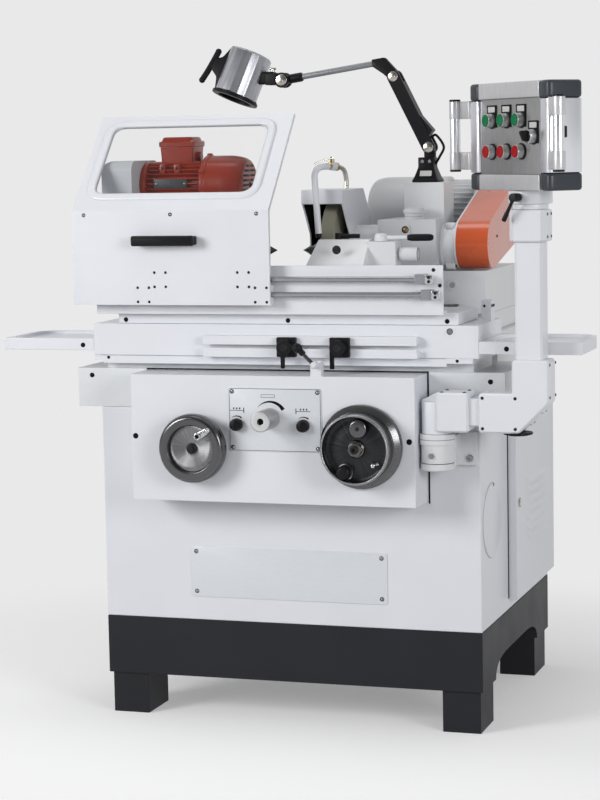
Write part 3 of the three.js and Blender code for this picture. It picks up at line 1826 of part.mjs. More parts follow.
// Lamp head: a faceted drum on a forked neck
function lampHead() {
  const top = new THREE.Vector3(headTopX, headTopY, headTopZ);
  const mouth = new THREE.Vector3(headMouthX, headMouthY, headMouthZ);
  const axis = mouth.clone().sub(top);
  const length = axis.length();
  const shade = cut(
    join(
      new THREE.CylinderGeometry(headRadius, headRadius, length, headFaces),
      new THREE.CylinderGeometry(
        mouthRingRadius,
        mouthRingRadius,
        mouthRingHeight,
        headFaces,
      ).translate(0, (length - mouthRingHeight) / 2 + overlap, 0),
    ),
    new THREE.CylinderGeometry(mouthRadius, mouthRadius, 2 * mouthDepth, headFaces).translate(
      0,
      length / 2 + overlap,
      0,
    ),
  );
  const turn = new THREE.Quaternion().setFromUnitVectors(
    new THREE.Vector3(0, 1, 0),
    axis.clone().normalize(),
  );
  const middle = top.clone().add(mouth).divideScalar(2);
  shade.applyQuaternion(turn).translate(middle.x, middle.y, middle.z);
  const bar = rodBetween(
    [handleLowX, middle.y, handleLowZ],
    [handleHighX, middle.y, handleHighZ],
    handleRadius,
  );
  const stem = rodBetween(
    [(handleLowX + handleHighX) / 2, middle.y, (handleLowZ + handleHighZ) / 2],
    [middle.x, middle.y, middle.z],
    handleRadius,
  );
  const half = lampArmThickness / 2;
  const slot = tongueThickness / 2 + seatGap;
  const reach = tongueRadius + overlap + overlap;
  const neckLength = lampWristX - middle.x - headRadius / 2;
  const neck = join(
    slab([0, neckLength], [-half, half], [-headNeck / 2, headNeck / 2]),
    barY(headNeck / 2 + overlap, 0, [-half, half], 0),
  );
  const forked = cut(
    neck,
    slab([-reach, reach], [-slot, slot], [-reach, reach]),
    barY(pinRadius + seatGap, 0, [-half - overrun, half + overrun], 0, coarseSides),
  );
  forked.rotateZ(2 * quarterTurn).translate(lampWristX, lampY, lampWristZ);
  return join(shade, bar, stem, forked);
}

// Lamp cable: a short loop past the lower hinge, from the arm's side to the base's
const armRun = Math.hypot(lampElbowX - lampHipX, lampElbowZ - lampHipZ);
const armUnitX = (lampElbowX - lampHipX) / armRun;
const armUnitZ = (lampElbowZ - lampHipZ) / armRun;
const cableOut = lampArmWidth / 2 + seatGap;
const cableStartX = lampHipX + armUnitX * cableStart + armUnitZ * cableOut;
const cableStartZ = lampHipZ + armUnitZ * cableStart - armUnitX * cableOut;
const cableEndX = lampX + lampNeck / 2 + cableRadius + seatGap;
const cableRoute = [
  [cableStartX, lampY, cableStartZ],
  [cableStartX + armUnitZ * cableLead, lampY, cableStartZ - armUnitX * cableLead / 2],
  [cableBellyX, lampY, cableBellyZ],
  [cableEndX + cableLead / 2, lampY, lampNeckZ],
  [cableEndX, lampY, lampTaperTop + cableRadius * 2],
];

function lampCable() {
  return tube(cableRoute, cableRadius, cableSteps, arcSteps);
}

// Pendant bracket: a bolted plate and the upright barrel that the arm turns on
function pendantBracket() {
  const half = barrelRadius / 2;
  return join(
    slab(
      [barrelPlateLeft, barrelPlateRight],
      [-barrelPlateThickness - seatGap, -seatGap],
      [barrelBottom, barrelBottom + barrelPlateHeight],
    ),
    slab(
      [armX - half, armX + barrelWeb],
      [armY, -barrelPlateThickness],
      [barrelBottom + overrun, barrelTop - overrun],
    ),
    barZ(barrelRadius, armX, armY, [barrelBottom, barrelTop]),
  );
}

// Pendant arm: round head, coupling, elbow casting, column and neck block
function pendantArm() {
  const half = armHeight / 2;
  const block = armBlock / 2;
  const tubeHalf = tubeSide / 2;
  const y = [armY - block, armY + tubeHalf];
  const elbow = alongY(
    outline([
      [armTubeRight, armZ - half],
      [elbowRight - elbowCut, armZ - half],
      [elbowRight, armZ - half + elbowCut],
      [elbowRight, elbowTop],
      [elbowLeft, elbowTop],
      [elbowLeft, armZ + half],
      [armTubeRight, armZ + half],
    ]),
    y,
  );
  return join(
    barZ(barrelRadius - overlap, armX, armY, [barrelTop + seatGap, armZ + half / 2]),
    slab([armHeadLeft, armHeadRight], y, [armZ - half, armZ + half]),
    slab(
      [armHeadRight - overlap, armTubeRight + overlap],
      [armY - tubeHalf, armY + tubeHalf],
      [armZ - tubeHalf, armZ + tubeHalf],
    ),
    elbow,
    slab(
      [columnX - tubeHalf, columnX + tubeHalf],
      [armY - tubeHalf, armY + tubeHalf],
      [elbowTop - overlap, neckBottom + overlap],
    ),
    slab(
      [columnX - block, columnX + block],
      [armY - block, armY + block],
      [neckBottom, neckTop],
    ),
  );
}

// Places a shape drawn with the case's face towards -Y at the pendant's turn
const turnAngle = (-pendantTurn * Math.PI) / 180;
const faceNormal = new THREE.Vector3(Math.sin(turnAngle), -Math.cos(turnAngle), 0);

function ontoPendant(geometry) {
  return geometry
    .rotateZ(turnAngle)
    .translate(
      columnX + faceNormal.x * pendantForward,
      armY + faceNormal.y * pendantForward,
      0,
    );
}

// The controls' places on the case's face, as [across, height]
const buttonPlaces = [];
for (const z of [startRowZ, stopRowZ]) {
  for (let i = 0; i < 3; i += 1) buttonPlaces.push([buttonLeft + i * buttonPitch, z]);
}

// Pendant case: swivel neck, rounded case, button bezels and a grip at each side
function pendantCase() {
  const front = -pendantDepth / 2;
  const body = alongZ(
    roundedRectangle(
      [-pendantWidth / 2, pendantWidth / 2],
      [-pendantDepth / 2, pendantDepth / 2],
      pendantCorner,
    ),
    [pendantBottom, pendantBottom + pendantHeight],
  );
  const pieces = [body];
  const bores = [];
  for (const [x, z] of [...buttonPlaces, [selectorAcross, selectorZ]]) {
    pieces.push(barY(bezelRadius, x, [front - bezelRise, front + overlap], z));
    bores.push(
      barY(capRadius + seatGap, x, [front - bezelRise - overrun, front + capStem], z, coarseSides),
    );
  }
  for (const side of [-1, 1]) {
    const x = side * (pendantWidth / 2 + gripTubeOut);
    const y = front - gripTubeForward;
    const [low, high] = [gripTubeZ - gripTubeHeight / 2, gripTubeZ + gripTubeHeight / 2];
    pieces.push(barZ(gripTubeRadius, x, y, [low, high], coarseSides));
    for (const z of [low, high - gripBracketHeight]) {
      const inner = side * (pendantWidth / 2 - overlap);
      const span = [inner, x].sort((a, b) => a - b);
      pieces.push(
        slab(
          span,
          [front, front + gripBracketThickness],
          [z, z + gripBracketHeight],
        ),
        slab(
          [x - gripTubeRadius / 2, x + gripTubeRadius / 2],
          [y, front + gripBracketThickness],
          [z, z + gripBracketHeight],
        ),
      );
    }
  }
  const shell = ontoPendant(cut(join(...pieces), ...bores));
  return join(
    shell,
    barZ(swivelRingRadius, columnX, armY, [neckTop + seatGap, swivelRingTop + overlap]),
    barZ(swivelFlangeRadius, columnX, armY, [swivelRingTop, pendantBottom + overlap]),
  );
}

// One push-button cap with the stem behind it
function buttonCap([x, z]) {
  const front = -pendantDepth / 2 - bezelRise;
  const back = -pendantDepth / 2 + capStem - buttonTravel - seatGap;
  return ontoPendant(barY(capRadius, x, [front - capRise, back], z, coarseSides));
}

// Selector switch: a round stem with a raised grip across it
function selectorKnob() {
  const front = -pendantDepth / 2 - bezelRise;
  return ontoPendant(
    join(
      barY(
        capRadius,
        selectorAcross,
        [front - capRise, -pendantDepth / 2 + capStem - seatGap],
        selectorZ,
        coarseSides,
      ),
      slab(
        [selectorAcross - selectorGrip / 2, selectorAcross + selectorGrip / 2],
        [front - capRise - selectorRise, front - capRise + overlap],
        [selectorZ - capRadius + overlap, selectorZ + capRadius - overlap],
      ),
    ),
  );
}

// Clamp lever on the pendant's swivel flange
function pendantClamp() {
  const face = -swivelFlangeRadius - seatGap;
  const z = (swivelRingTop + pendantBottom) / 2;
  const lean = (clampLean * Math.PI) / 180;
  const rod = barZ(clampRadius, 0, 0, [-clampLength, 0], coarseSides);
  rod.rotateY(lean).translate(0, face - clampHubLength + clampRadius, z);
  const lever = join(
    barY(clampHubRadius, 0, [face - clampHubLength, face], z, coarseSides),
    rod,
  );
  return lever.rotateZ((clampSide * Math.PI) / 180).translate(columnX, armY, 0);
}

add("plinth", plinth(), "black");
add("cabinet", cabinet(), "white");
add("electrical_door", electricalDoor(), "white");
add("bed", bed(), "white");
add("apron", apron(), "white");
add("pendant_bracket", pendantBracket(), "white");
add("speed_knob", knob(0, speedKnobZ, speedKnobRadius, speedKnobLength), "steel");
add("left_dwell_knob", knob(-dwellKnobX, dwellKnobZ, dwellKnobRadius, dwellKnobLength), "plastic");
add("right_dwell_knob", knob(dwellKnobX, dwellKnobZ, dwellKnobRadius, dwellKnobLength), "plastic");
add("reversing_lever", reversingLever(), "plastic");
add("table_handwheel", tableHandwheel(), "darkSteel");
add("table_crank", tableCrank(), "steel");
add("cross_feed_handwheel", crossFeedHandwheel(), "darkSteel");
add("lower_table", lowerTable(), "white");
add("left_wing", leftWing(), "white");
add("right_wing", rightWing(), "white");
add("left_dog", dog(leftDogX, -dogFingerWidth), "plastic");
add("right_dog", dog(rightDogX, -dogSpread / 2 + dogFingerWidth / 2), "plastic");
add("upper_table", upperTable(), "white");
add("guard_panel", guardPanel(), "white");
add("upper_guard_rod", guardRod(upperRodZ, upperRodRight), "steel");
add("lower_guard_rod", guardRod(lowerRodZ, lowerRodRight), "steel");
add("guard_door", guardDoor(), "white");
add("door_window", doorWindow(), "glass");
add("door_handle", doorHandle(), "plastic");
add("workhead_body", workheadBody(), "white");
add("workhead_motor", workheadMotor(), "red");
add("workhead_belt_cover", workheadBeltCover(), "grey");
add("workhead_spindle", workheadSpindle(), "darkSteel");
add("workhead_motor_pulley", workheadMotorPulley(), "iron");
const workBeltRight = workheadLeft - seatGap - overrun - (workPulleyWidth - workBeltWidth) / 2;
add(
  "workhead_belt",
  belt(
    [workY, workZ, workPulleyRadius],
    [workMotorY, workMotorZ, workMotorPulleyRadius],
    workBeltThickness,
    [workBeltRight - workBeltWidth, workBeltRight],
  ),
  "rubber",
);
add("tailstock_body", tailstockBody(), "white");
add("tailstock_quill", tailstockQuill(), "darkSteel");
add("tailstock_lever", tailstockLever(), "white");
add("tailstock_lock", tailstockLock(), "plastic");
add("cross_slide", crossSlide(), "white");
add("wheelhead_body", wheelheadBody(), "white");
add("wheel_guard", wheelGuard(), "white");
add("grinding_wheel", grindingWheel(), "stone");
add("wheel_spindle", wheelSpindle(), "steel");
add("wheel_motor", wheelMotor(), "grey");
add("wheel_motor_pulley", wheelMotorPulley(), "iron");
const beltLeft = pulleyLeft + (pulleyWidth - beltWidth) / 2;
add(
  "wheel_belt",
  belt(
    [wheelY, workZ, spindlePulleyRadius],
    [motorY, motorZ, motorPulleyRadius],
    beltThickness,
    [beltLeft, beltLeft + beltWidth],
  ),
  "rubber",
);
add("wheel_belt_cover", wheelBeltCover(), "orange");
add("coolant_pipe", coolantPipe(), "white");
add("lamp_base", lampBase(), "plastic");
add("lamp_lower_arm", lampLowerArm(), "plastic");
add("lamp_upper_arm", lampUpperArm(), "steel");
add("lamp_head", lampHead(), "steel");
add("lamp_cable", lampCable(), "rubber");
add("pendant_arm", pendantArm(), "white");
add("pendant_case", pendantCase(), "aluminium");
add("pendant_clamp", pendantClamp(), "plastic");
const buttonNames = ["start_button", "stop_button"];
buttonPlaces.forEach((place, i) => {
  const row = i < 3 ? 0 : 1;
  add(`${buttonNames[row]}_${(i % 3) + 1}`, buttonCap(place), row === 0 ? "green" : "crimson");
});
add("selector_knob", selectorKnob(), "plastic");

// The origin is the middle of the machine's footprint on the floor
const bounds = new THREE.Box3().setFromObject(group);
const middle = bounds.getCenter(new THREE.Vector3());
group.position.set(-middle.x, -middle.y, 0);

export default group;
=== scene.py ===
"""Dressed model of a small universal cylindrical grinder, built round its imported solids.

Lengths are millimetres on the machine's drawing axes: X to the right along the table, Y back from
the cabinet's front and Z up from the floor. Each piece is turned into metres at the end.
"""

import logging
import math
from collections.abc import Sequence
from dataclasses import dataclass
from enum import Enum

import bmesh
import bpy
import numpy as np
from mathutils import Matrix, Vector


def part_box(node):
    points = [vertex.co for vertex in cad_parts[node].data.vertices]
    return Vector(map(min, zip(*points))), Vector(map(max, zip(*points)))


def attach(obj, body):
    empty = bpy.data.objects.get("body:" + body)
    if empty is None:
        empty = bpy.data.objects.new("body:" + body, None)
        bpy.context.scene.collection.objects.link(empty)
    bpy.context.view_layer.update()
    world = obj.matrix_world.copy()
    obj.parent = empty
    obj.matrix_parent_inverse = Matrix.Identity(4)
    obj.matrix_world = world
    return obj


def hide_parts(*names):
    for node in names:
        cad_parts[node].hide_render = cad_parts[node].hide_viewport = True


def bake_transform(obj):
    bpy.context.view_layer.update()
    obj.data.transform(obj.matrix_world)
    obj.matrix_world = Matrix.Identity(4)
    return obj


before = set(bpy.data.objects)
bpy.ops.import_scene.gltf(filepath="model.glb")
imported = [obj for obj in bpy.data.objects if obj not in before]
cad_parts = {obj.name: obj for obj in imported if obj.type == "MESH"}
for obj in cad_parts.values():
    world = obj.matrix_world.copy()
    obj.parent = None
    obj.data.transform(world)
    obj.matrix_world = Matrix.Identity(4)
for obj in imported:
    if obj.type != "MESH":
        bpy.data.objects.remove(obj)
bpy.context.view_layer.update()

Array = np.ndarray
Pair = tuple[float, float]
Triple = tuple[float, float, float]
Span = Sequence[float]
log = logging.getLogger("grinder")

MM = 0.001
CABINET_CORNER = (-450.0, 0.0, 231.3)
SHIFT = np.array(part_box("cabinet")[0]) / MM - np.array(CABINET_CORNER)
FORWARD: Triple = (0, -1, 0)
RIGHTWARD: Triple = (1, 0, 0)
UPWARD: Triple = (0, 0, 1)


# Surfaces


@dataclass
class Shell:
    """Points and faces of one surface, and each face corner's place on its two parameters."""

    points: Array
    faces: list[tuple[int, ...]]
    corners: Array


@dataclass(frozen=True)
class Plane:
    """A flat frame: an origin, a direction across and a direction up, with its normal outwards."""

    origin: Triple
    across: Triple
    up: Triple

    def lift(self, flat: Array, height: float | Array) -> Array:
        """Puts flat points into space: origin + across * a + up * b + normal * height.

        Args:
            flat: The points, as (a, b) pairs.
            height: Their height off the plane, one for all or one each.

        Returns:
            The points in space.
        """
        across, up = np.array(self.across), np.array(self.up)
        normal = np.cross(across, up)
        lifted = np.asarray(height, float)[..., None] * normal
        return np.array(self.origin) + flat[..., :1] * across + flat[..., 1:2] * up + lifted

    def spot(self, a: float, b: float, height: float = 0.0) -> Array:
        """Returns one point of the plane, lifted off it by a height."""
        return self.lift(np.array([[a, b]]), height)[0]

    @property
    def normal(self) -> Array:
        """The direction that the plane faces."""
        return np.cross(self.across, self.up)


def front(y: float) -> Plane:
    """A plane that faces the operator at one Y, drawn as (x, z)."""
    return Plane((0, y, 0), RIGHTWARD, UPWARD)


def right(x: float) -> Plane:
    """A plane that faces right at one X, drawn as (y, z)."""
    return Plane((x, 0, 0), (0, 1, 0), UPWARD)


def top(z: float) -> Plane:
    """A plane that faces up at one Z, drawn as (x, y)."""
    return Plane((0, 0, z), RIGHTWARD, (0, 1, 0))


def unit(vector: Span) -> Array:
    """Scales a vector to length one."""
    vector = np.asarray(vector, float)
    return vector / np.linalg.norm(vector)


def angles(count: int) -> Array:
    """Returns evenly spaced angles round one full turn."""
    return np.linspace(0, math.tau, count, endpoint=False)


def square_to(axis: Array) -> tuple[Array, Array]:
    """Gives two unit vectors square to an axis a.

    The first is a x z, or a x x where the axis is upright, and the second is a x the first.

    Args:
        axis: The axis's unit direction.

    Returns:
        The two vectors.
    """
    helper = UPWARD if abs(axis[2]) < 0.9 else RIGHTWARD
    first = unit(np.cross(axis, helper))
    return first, np.cross(axis, first)


def grid(
    points: Array, wrap_rows: bool = False, wrap_columns: bool = True, caps: bool = True
) -> Shell:
    """Joins a grid of points: face (i, j) runs round (i, j), (i, j+1), (i+1, j+1) and (i+1, j).

    Args:
        points: The grid, as rows by columns by three.
        wrap_rows: Joins the last row to the first.
        wrap_columns: Joins the last column to the first.
        caps: Closes the first and the last row where the columns wrap and the rows don't.

    Returns:
        The surface, with (column, row) as its two parameters from 0 to 1.
    """
    rows, columns = points.shape[:2]
    index = np.arange(rows * columns).reshape(rows, columns)
    near = index if wrap_rows else index[:-1]
    far = np.roll(index, -1, axis=0) if wrap_rows else index[1:]
    if wrap_columns:
        sides = (near, np.roll(near, -1, axis=1), np.roll(far, -1, axis=1), far)
    else:
        sides = (near[:, :-1], near[:, 1:], far[:, 1:], far[:, :-1])
    quads = np.stack(sides, axis=-1)
    down, across = quads.shape[:2]
    v, u = np.meshgrid(np.arange(down) / down, np.arange(across) / across, indexing="ij")
    du, dv = 1 / across, 1 / down
    corners = np.stack([u, v, u + du, v, u + du, v + dv, u, v + dv], axis=-1).reshape(-1, 2)
    faces = [tuple(face) for face in quads.reshape(-1, 4).tolist()]
    if caps and wrap_columns and not wrap_rows:
        faces += [tuple(index[0][::-1].tolist()), tuple(index[-1].tolist())]
        corners = np.concatenate([corners, np.zeros((2 * columns, 2))])
    return Shell(points.reshape(-1, 3), faces, corners)


def eased(points: Sequence, radius: float | Span, closed: bool = True, steps: int = 4) -> Array:
    """Rounds the corners of a line.

    Corner P becomes the curve (1-t)^2 A + 2t(1-t) P + t^2 B. A and B lie on its two edges, a
    radius away from it, or half the edge away where that is less.

    Args:
        points: The line's corners.
        radius: One radius, or one for each corner.
        closed: Whether the last corner joins the first.
        steps: Parts of each corner's curve.

    Returns:
        The rounded line's points.
    """
    points = np.asarray(points, float)
    radii = np.broadcast_to(np.asarray(radius, float), len(points))[:, None]
    before = np.roll(points, 1, axis=0) - points
    after = np.roll(points, -1, axis=0) - points
    if not closed:
        before[0] = 0
        after[-1] = 0
    ends = []
    for edge in (before, after):
        length = np.maximum(np.linalg.norm(edge, axis=1, keepdims=True), 1e-9)
        ends.append((points + edge / length * np.minimum(radii, length / 2))[:, None])
    t = np.linspace(0, 1, steps + 1)[None, :, None]
    curve = (1 - t) ** 2 * ends[0] + 2 * t * (1 - t) * points[:, None] + t**2 * ends[1]
    return curve.reshape(-1, points.shape[1])


def box_line(a: Pair, b: Pair, radius: float = 0.0, steps: int = 4) -> Array:
    """Draws a rectangle between two values on each flat axis, with its corners rounded."""
    corners = [(a[0], b[0]), (a[1], b[0]), (a[1], b[1]), (a[0], b[1])]
    return eased(corners, radius, steps=steps) if radius else np.array(corners, float)


def ring_line(centre: Pair, radius: float, sides: int = 32) -> Array:
    """Draws a circle: centre + radius (cos t, sin t)."""
    t = angles(sides)
    return np.array(centre) + radius * np.stack([np.cos(t), np.sin(t)], axis=1)


def inset(line: Array, distance: float) -> Array:
    """Moves a counter-clockwise line inwards.

    Each point goes (n + m) / (1 + n.m) times the distance, where n and m are the inward normals
    of its two edges.

    Args:
        line: The closed line.
        distance: How far its edges move.

    Returns:
        The moved line.
    """
    edge = np.roll(line, -1, axis=0) - line
    edge = edge / np.maximum(np.linalg.norm(edge, axis=1, keepdims=True), 1e-9)
    ahead = np.stack([-edge[:, 1], edge[:, 0]], axis=1)
    behind = np.roll(ahead, 1, axis=0)
    return line + distance * (ahead + behind) / (1 + (ahead * behind).sum(axis=1, keepdims=True))


def slab(
    line: Array,
    plane: Plane,
    low: float,
    high: float,
    ease: float = 1.0,
    both: bool = False,
    steps: int = 3,
) -> Shell:
    """Raises a closed line off a plane and rounds its rim.

    Ring k of the rim lies at height high - e + e sin(a) and is inset by e (1 - cos(a)), with a
    from 0 to a quarter turn; the foot's rim is the same upside down.

    Args:
        line: The closed line on the plane, counter-clockwise.
        plane: The plane it stands on.
        low: Height of the foot.
        high: Height of the top.
        ease: Radius of the rim.
        both: Whether the foot's rim is rounded too.
        steps: Parts of the rim's curve; one makes a chamfer.

    Returns:
        The closed surface.
    """
    turn = np.linspace(0, math.pi / 2, steps + 1)
    rise, shrink = ease * np.sin(turn), ease * (1 - np.cos(turn))
    rings = (
        [(shrink[k], low + ease - rise[k]) for k in range(steps, -1, -1)] if both else [(0.0, low)]
    )
    rings += [(shrink[k], high - ease + rise[k]) for k in range(steps + 1)]
    return grid(np.stack([plane.lift(inset(line, d), h) for d, h in rings]))


def block(x: Pair, y: Pair, z: Pair, ease: float = 1.5, steps: int = 3) -> Shell:
    """Makes a box between two values on each axis, its edges rounded or, with one step, cut off."""
    return slab(box_line(x, y, ease, steps), top(0), z[0], z[1], ease, both=True, steps=steps)


def revolved(
    profile: Sequence, centre: Span, axis: Span, sides: int = 48, ring: bool = False
) -> Shell:
    """Turns a profile round an axis.

    Point (i, t) = centre + along_i a + radius_i (u cos t + v sin t), with u and v square to a.

    Args:
        profile: Pairs of radius and distance along the axis.
        centre: A point on the axis.
        axis: The axis's direction.
        sides: Points round the axis.
        ring: Whether the profile is a closed loop clear of the axis.

    Returns:
        The closed surface.
    """
    line = np.asarray(profile, float)
    a = unit(axis)
    u, v = square_to(a)
    t = angles(sides)[:, None]
    spokes = np.cos(t) * u + np.sin(t) * v
    points = np.array(centre) + line[:, 1, None, None] * a + line[:, 0, None, None] * spokes
    return grid(points, wrap_rows=ring)


def smoothed(points: Sequence, count: int) -> Array:
    """Draws a smooth curve through points.

    On a span from P1 to P2 it is half of 2 P1 + (P2 - P0) t + (2 P0 - 5 P1 + 4 P2 - P3) t^2
    + (3 P1 - P0 - 3 P2 + P3) t^3.

    Args:
        points: The points to pass through.
        count: How many points to draw.

    Returns:
        The curve's points.
    """
    points = np.asarray(points, float)
    ends = np.concatenate([2 * points[:1] - points[1:2], points, 2 * points[-1:] - points[-2:-1]])
    place = np.linspace(0, len(points) - 1, count)
    span = np.minimum(place.astype(int), len(points) - 2)
    t = (place - span)[:, None]
    p0, p1, p2, p3 = (ends[span + k] for k in range(4))
    bend = (2 * p0 - 5 * p1 + 4 * p2 - p3) * t**2 + (3 * p1 - p0 - 3 * p2 + p3) * t**3
    return (2 * p1 + (p2 - p0) * t + bend) / 2


def carried(section: Array, path: Array, level: Span = (0, 1, 0), closed: bool = False) -> Shell:
    """Carries a flat section along a path: point(i, j) = path_i + s_j0 side_i + s_j1 top_i.

    Args:
        section: The closed section, as (side, top) pairs.
        path: The path's points.
        level: A direction that 'side' keeps as near to as it can, square to the path.
        closed: Whether the path joins its own start.

    Returns:
        The surface, with its ends closed.
    """
    path = np.asarray(path, float)
    if closed:
        run = np.roll(path, -1, axis=0) - np.roll(path, 1, axis=0)
    else:
        run = np.gradient(path, axis=0)
    run = run / np.linalg.norm(run, axis=1, keepdims=True)
    tops = np.cross(run, np.asarray(level, float))
    tops = tops / np.linalg.norm(tops, axis=1, keepdims=True)
    sides = np.cross(tops, run)
    across, up = section[None, :, :1], section[None, :, 1:2]
    points = path[:, None] + across * sides[:, None] + up * tops[:, None]
    return grid(points, wrap_rows=closed)


def bar(start: Span, end: Span, radius: float, ease: float = 0.6, sides: int = 32) -> Shell:
    """Makes a round bar between two points.

    Args:
        start: The middle of one end.
        end: The middle of the other.
        radius: The bar's radius.
        ease: Radius of its end edges.
        sides: Points round it.

    Returns:
        The closed surface.
    """
    run = np.asarray(end, float) - np.asarray(start, float)
    length = float(np.linalg.norm(run))
    profile = eased(
        [(0, 0), (radius, 0), (radius, length), (0, length)], ease, closed=False, steps=3
    )
    return revolved(profile, start, run, sides)


def ball(centre: Span, radius: float, axis: Span = UPWARD, sides: int = 32) -> Shell:
    """Makes a ball: radius_t = r sin t at distance -r cos t along the axis."""
    t = np.linspace(0, math.pi, sides // 2 + 1)
    return revolved(
        np.stack([radius * np.sin(t), -radius * np.cos(t)], axis=1), centre, axis, sides
    )


def spoked(rows: Sequence[tuple[Array, float]], centre: Span, axis: Span, t: Array) -> Shell:
    """Makes a surface of rings whose radius may change on the way round.

    Point (i, j) = centre + along_i a + radius_ij (u cos t_j + v sin t_j).

    Args:
        rows: Each ring's radii and its distance along the axis.
        centre: A point on the axis.
        axis: The axis's direction.
        t: The angles round the axis.

    Returns:
        The surface; it is closed where the first and last rings have no radius.
    """
    a = unit(axis)
    u, v = square_to(a)
    spokes = np.cos(t)[:, None] * u + np.sin(t)[:, None] * v
    points = np.stack(
        [np.array(centre) + along * a + (radii + 0 * t)[:, None] * spokes for radii, along in rows]
    )
    return grid(points, caps=False)


def ribs_round(ribs: int, root: float, tip: float) -> tuple[Array, Array]:
    """Draws the ribs round a motor: radius = root + (tip - root) r(t).

    r is 1 on a rib and 0 between two, and ramps over a tenth of the pitch.

    Args:
        ribs: How many ribs there are.
        root: Radius between them.
        tip: Radius on them.

    Returns:
        The angles, ten to a rib, and the radius at each.
    """
    t = angles(ribs * 10)
    phase = (t * ribs / math.tau) % 1.0
    return t, root + (tip - root) * np.clip((0.24 - np.abs(phase - 0.5)) * 10, 0, 1)


def socket_screw(centre: Span, axis: Span, radius: float, height: float) -> Shell:
    """Makes a screw head with a hexagon socket.

    The socket's radius is s cos(30) / cos((t mod 60) - 30), in degrees.

    Args:
        centre: The middle of the head's foot.
        axis: The direction that the head faces.
        radius: The head's radius.
        height: The head's height.

    Returns:
        The closed surface.
    """
    t = angles(24)
    hexagon = 0.5 * radius * math.cos(math.pi / 6) / np.cos(t % (math.pi / 3) - math.pi / 6)
    none, chamfer = 0 * t, 0.14 * radius
    rows = [
        (none, height * 0.35), (hexagon, height * 0.35), (hexagon, height),
        (none + radius - chamfer, height),
    ]
    rows += [(none + radius, height - chamfer), (none + radius, 0.0), (none, 0.0)]
    return spoked(rows, centre, axis, t)


def hexagon_head(centre: Span, axis: Span, radius: float, height: float) -> Shell:
    """Makes a hexagon head, whose top corners a cone cuts off.

    Its radius is r cos(30) / cos((t mod 60) - 30), in degrees.

    Args:
        centre: The middle of the head's foot.
        axis: The direction that the head faces.
        radius: The radius of its corners.
        height: The head's height.

    Returns:
        The closed surface.
    """
    t = angles(36)
    hexagon = radius * math.cos(math.pi / 6) / np.cos(t % (math.pi / 3) - math.pi / 6)
    rows = [
        (0 * t, 0.0), (hexagon, 0.0), (hexagon, 0.8 * height),
        (np.minimum(hexagon, 0.88 * radius), height),
    ]
    return spoked([*rows, (0 * t, height)], centre, axis, t)


def washer(centre: Span, axis: Span, inner: float, outer: float, height: float) -> Shell:
    """Makes a flat ring that stands on a plane, with its rims slightly rounded."""
    section = eased(
        [(inner, 0), (outer, 0), (outer, height), (inner, height)], height * 0.3, steps=2
    )
    return revolved(section, centre, axis, 40, ring=True)


def lofted(lines: Sequence[Array], plane: Plane, heights: Span) -> Shell:
    """Joins closed lines of equal length, each lifted off the plane by its own height."""
    return grid(np.stack([plane.lift(line, height) for line, height in zip(lines, heights)]))


def dome_screw(centre: Span, axis: Span, radius: float) -> Shell:
    """Makes a low domed screw head with a small round recess."""
    profile = [
        (0, 0.15), (0.22, 0.15), (0.26, 0.42), (0.6, 0.36), (0.85, 0.22), (1, 0.05), (1, -0.1),
        (0, -0.1),
    ]
    return revolved(np.array(profile) * radius, centre, axis, 20)


# Finishes

NOISE_SPAN = (0.3, 0.7)
BROAD_NOISE = (7.0, 4.0)
BUMP_STRENGTH = 0.6
LEAST_ROUGHNESS = 0.02


@dataclass(frozen=True)
class Graph:
    """The shader nodes of one material or of the world."""

    tree: bpy.types.NodeTree

    def fill(self, node: bpy.types.Node, inputs: dict[str | int, object]) -> None:
        """Fills a node's inputs.

        Args:
            node: The node.
            inputs: What each input holds: a value, or another node's output.
        """
        for name, value in inputs.items():
            if isinstance(value, bpy.types.NodeSocket):
                self.tree.links.new(value, node.inputs[name])
            else:
                node.inputs[name].default_value = value

    def add(
        self, kind: str, inputs: dict[str | int, object] | None = None, **settings: str
    ) -> bpy.types.Node:
        """Adds a node.

        Args:
            kind: Its type, as Blender writes it after ShaderNode.
            inputs: What its inputs hold, as for 'fill'.
            settings: Its other properties.

        Returns:
            The node.
        """
        node = self.tree.nodes.new(f"ShaderNode{kind}")
        for name, value in settings.items():
            setattr(node, name, value)
        self.fill(node, inputs or {})
        return node

    def noise(
        self, place: bpy.types.NodeSocket, scale: float, detail: float
    ) -> bpy.types.NodeSocket:
        """Adds a noise texture that reads a place, and returns its value."""
        made = self.add("TexNoise", {"Scale": scale, "Detail": detail, "Vector": place})
        return made.outputs["Fac"]

    def either(self, *values: bpy.types.NodeSocket) -> bpy.types.NodeSocket:
        """Takes the greatest of several values.

        Args:
            values: The values.

        Returns:
            The greatest one's output.
        """
        whole = values[0]
        for value in values[1:]:
            whole = self.add("Math", {0: whole, 1: value}, operation="MAXIMUM").outputs[0]
        return whole


class Grain(Enum):
    """The fine structure of a finish: noise scale, detail, height in metres and tone weight."""

    ENAMEL = (420.0, 2.0, 0.000015, 0.15)
    CAST = (130.0, 3.0, 0.00005, 0.3)
    BRUSHED = (60.0, 6.0, 0.000006, 0.8)
    TURNED = (40.0, 5.0, 0.000004, 0.7)
    POLISHED = (18.0, 2.0, 0.000002, 0.3)
    MOULDED = (700.0, 2.0, 0.000006, 0.3)
    GRIT = (420.0, 6.0, 0.00012, 0.5)
    CLEAR = (8.0, 1.0, 0.0, 0.1)


class Lay(Enum):
    """What a finish's fine structure follows: the model's space, or the piece's own surface."""

    SPACE = "Object"
    SURFACE = "UV"


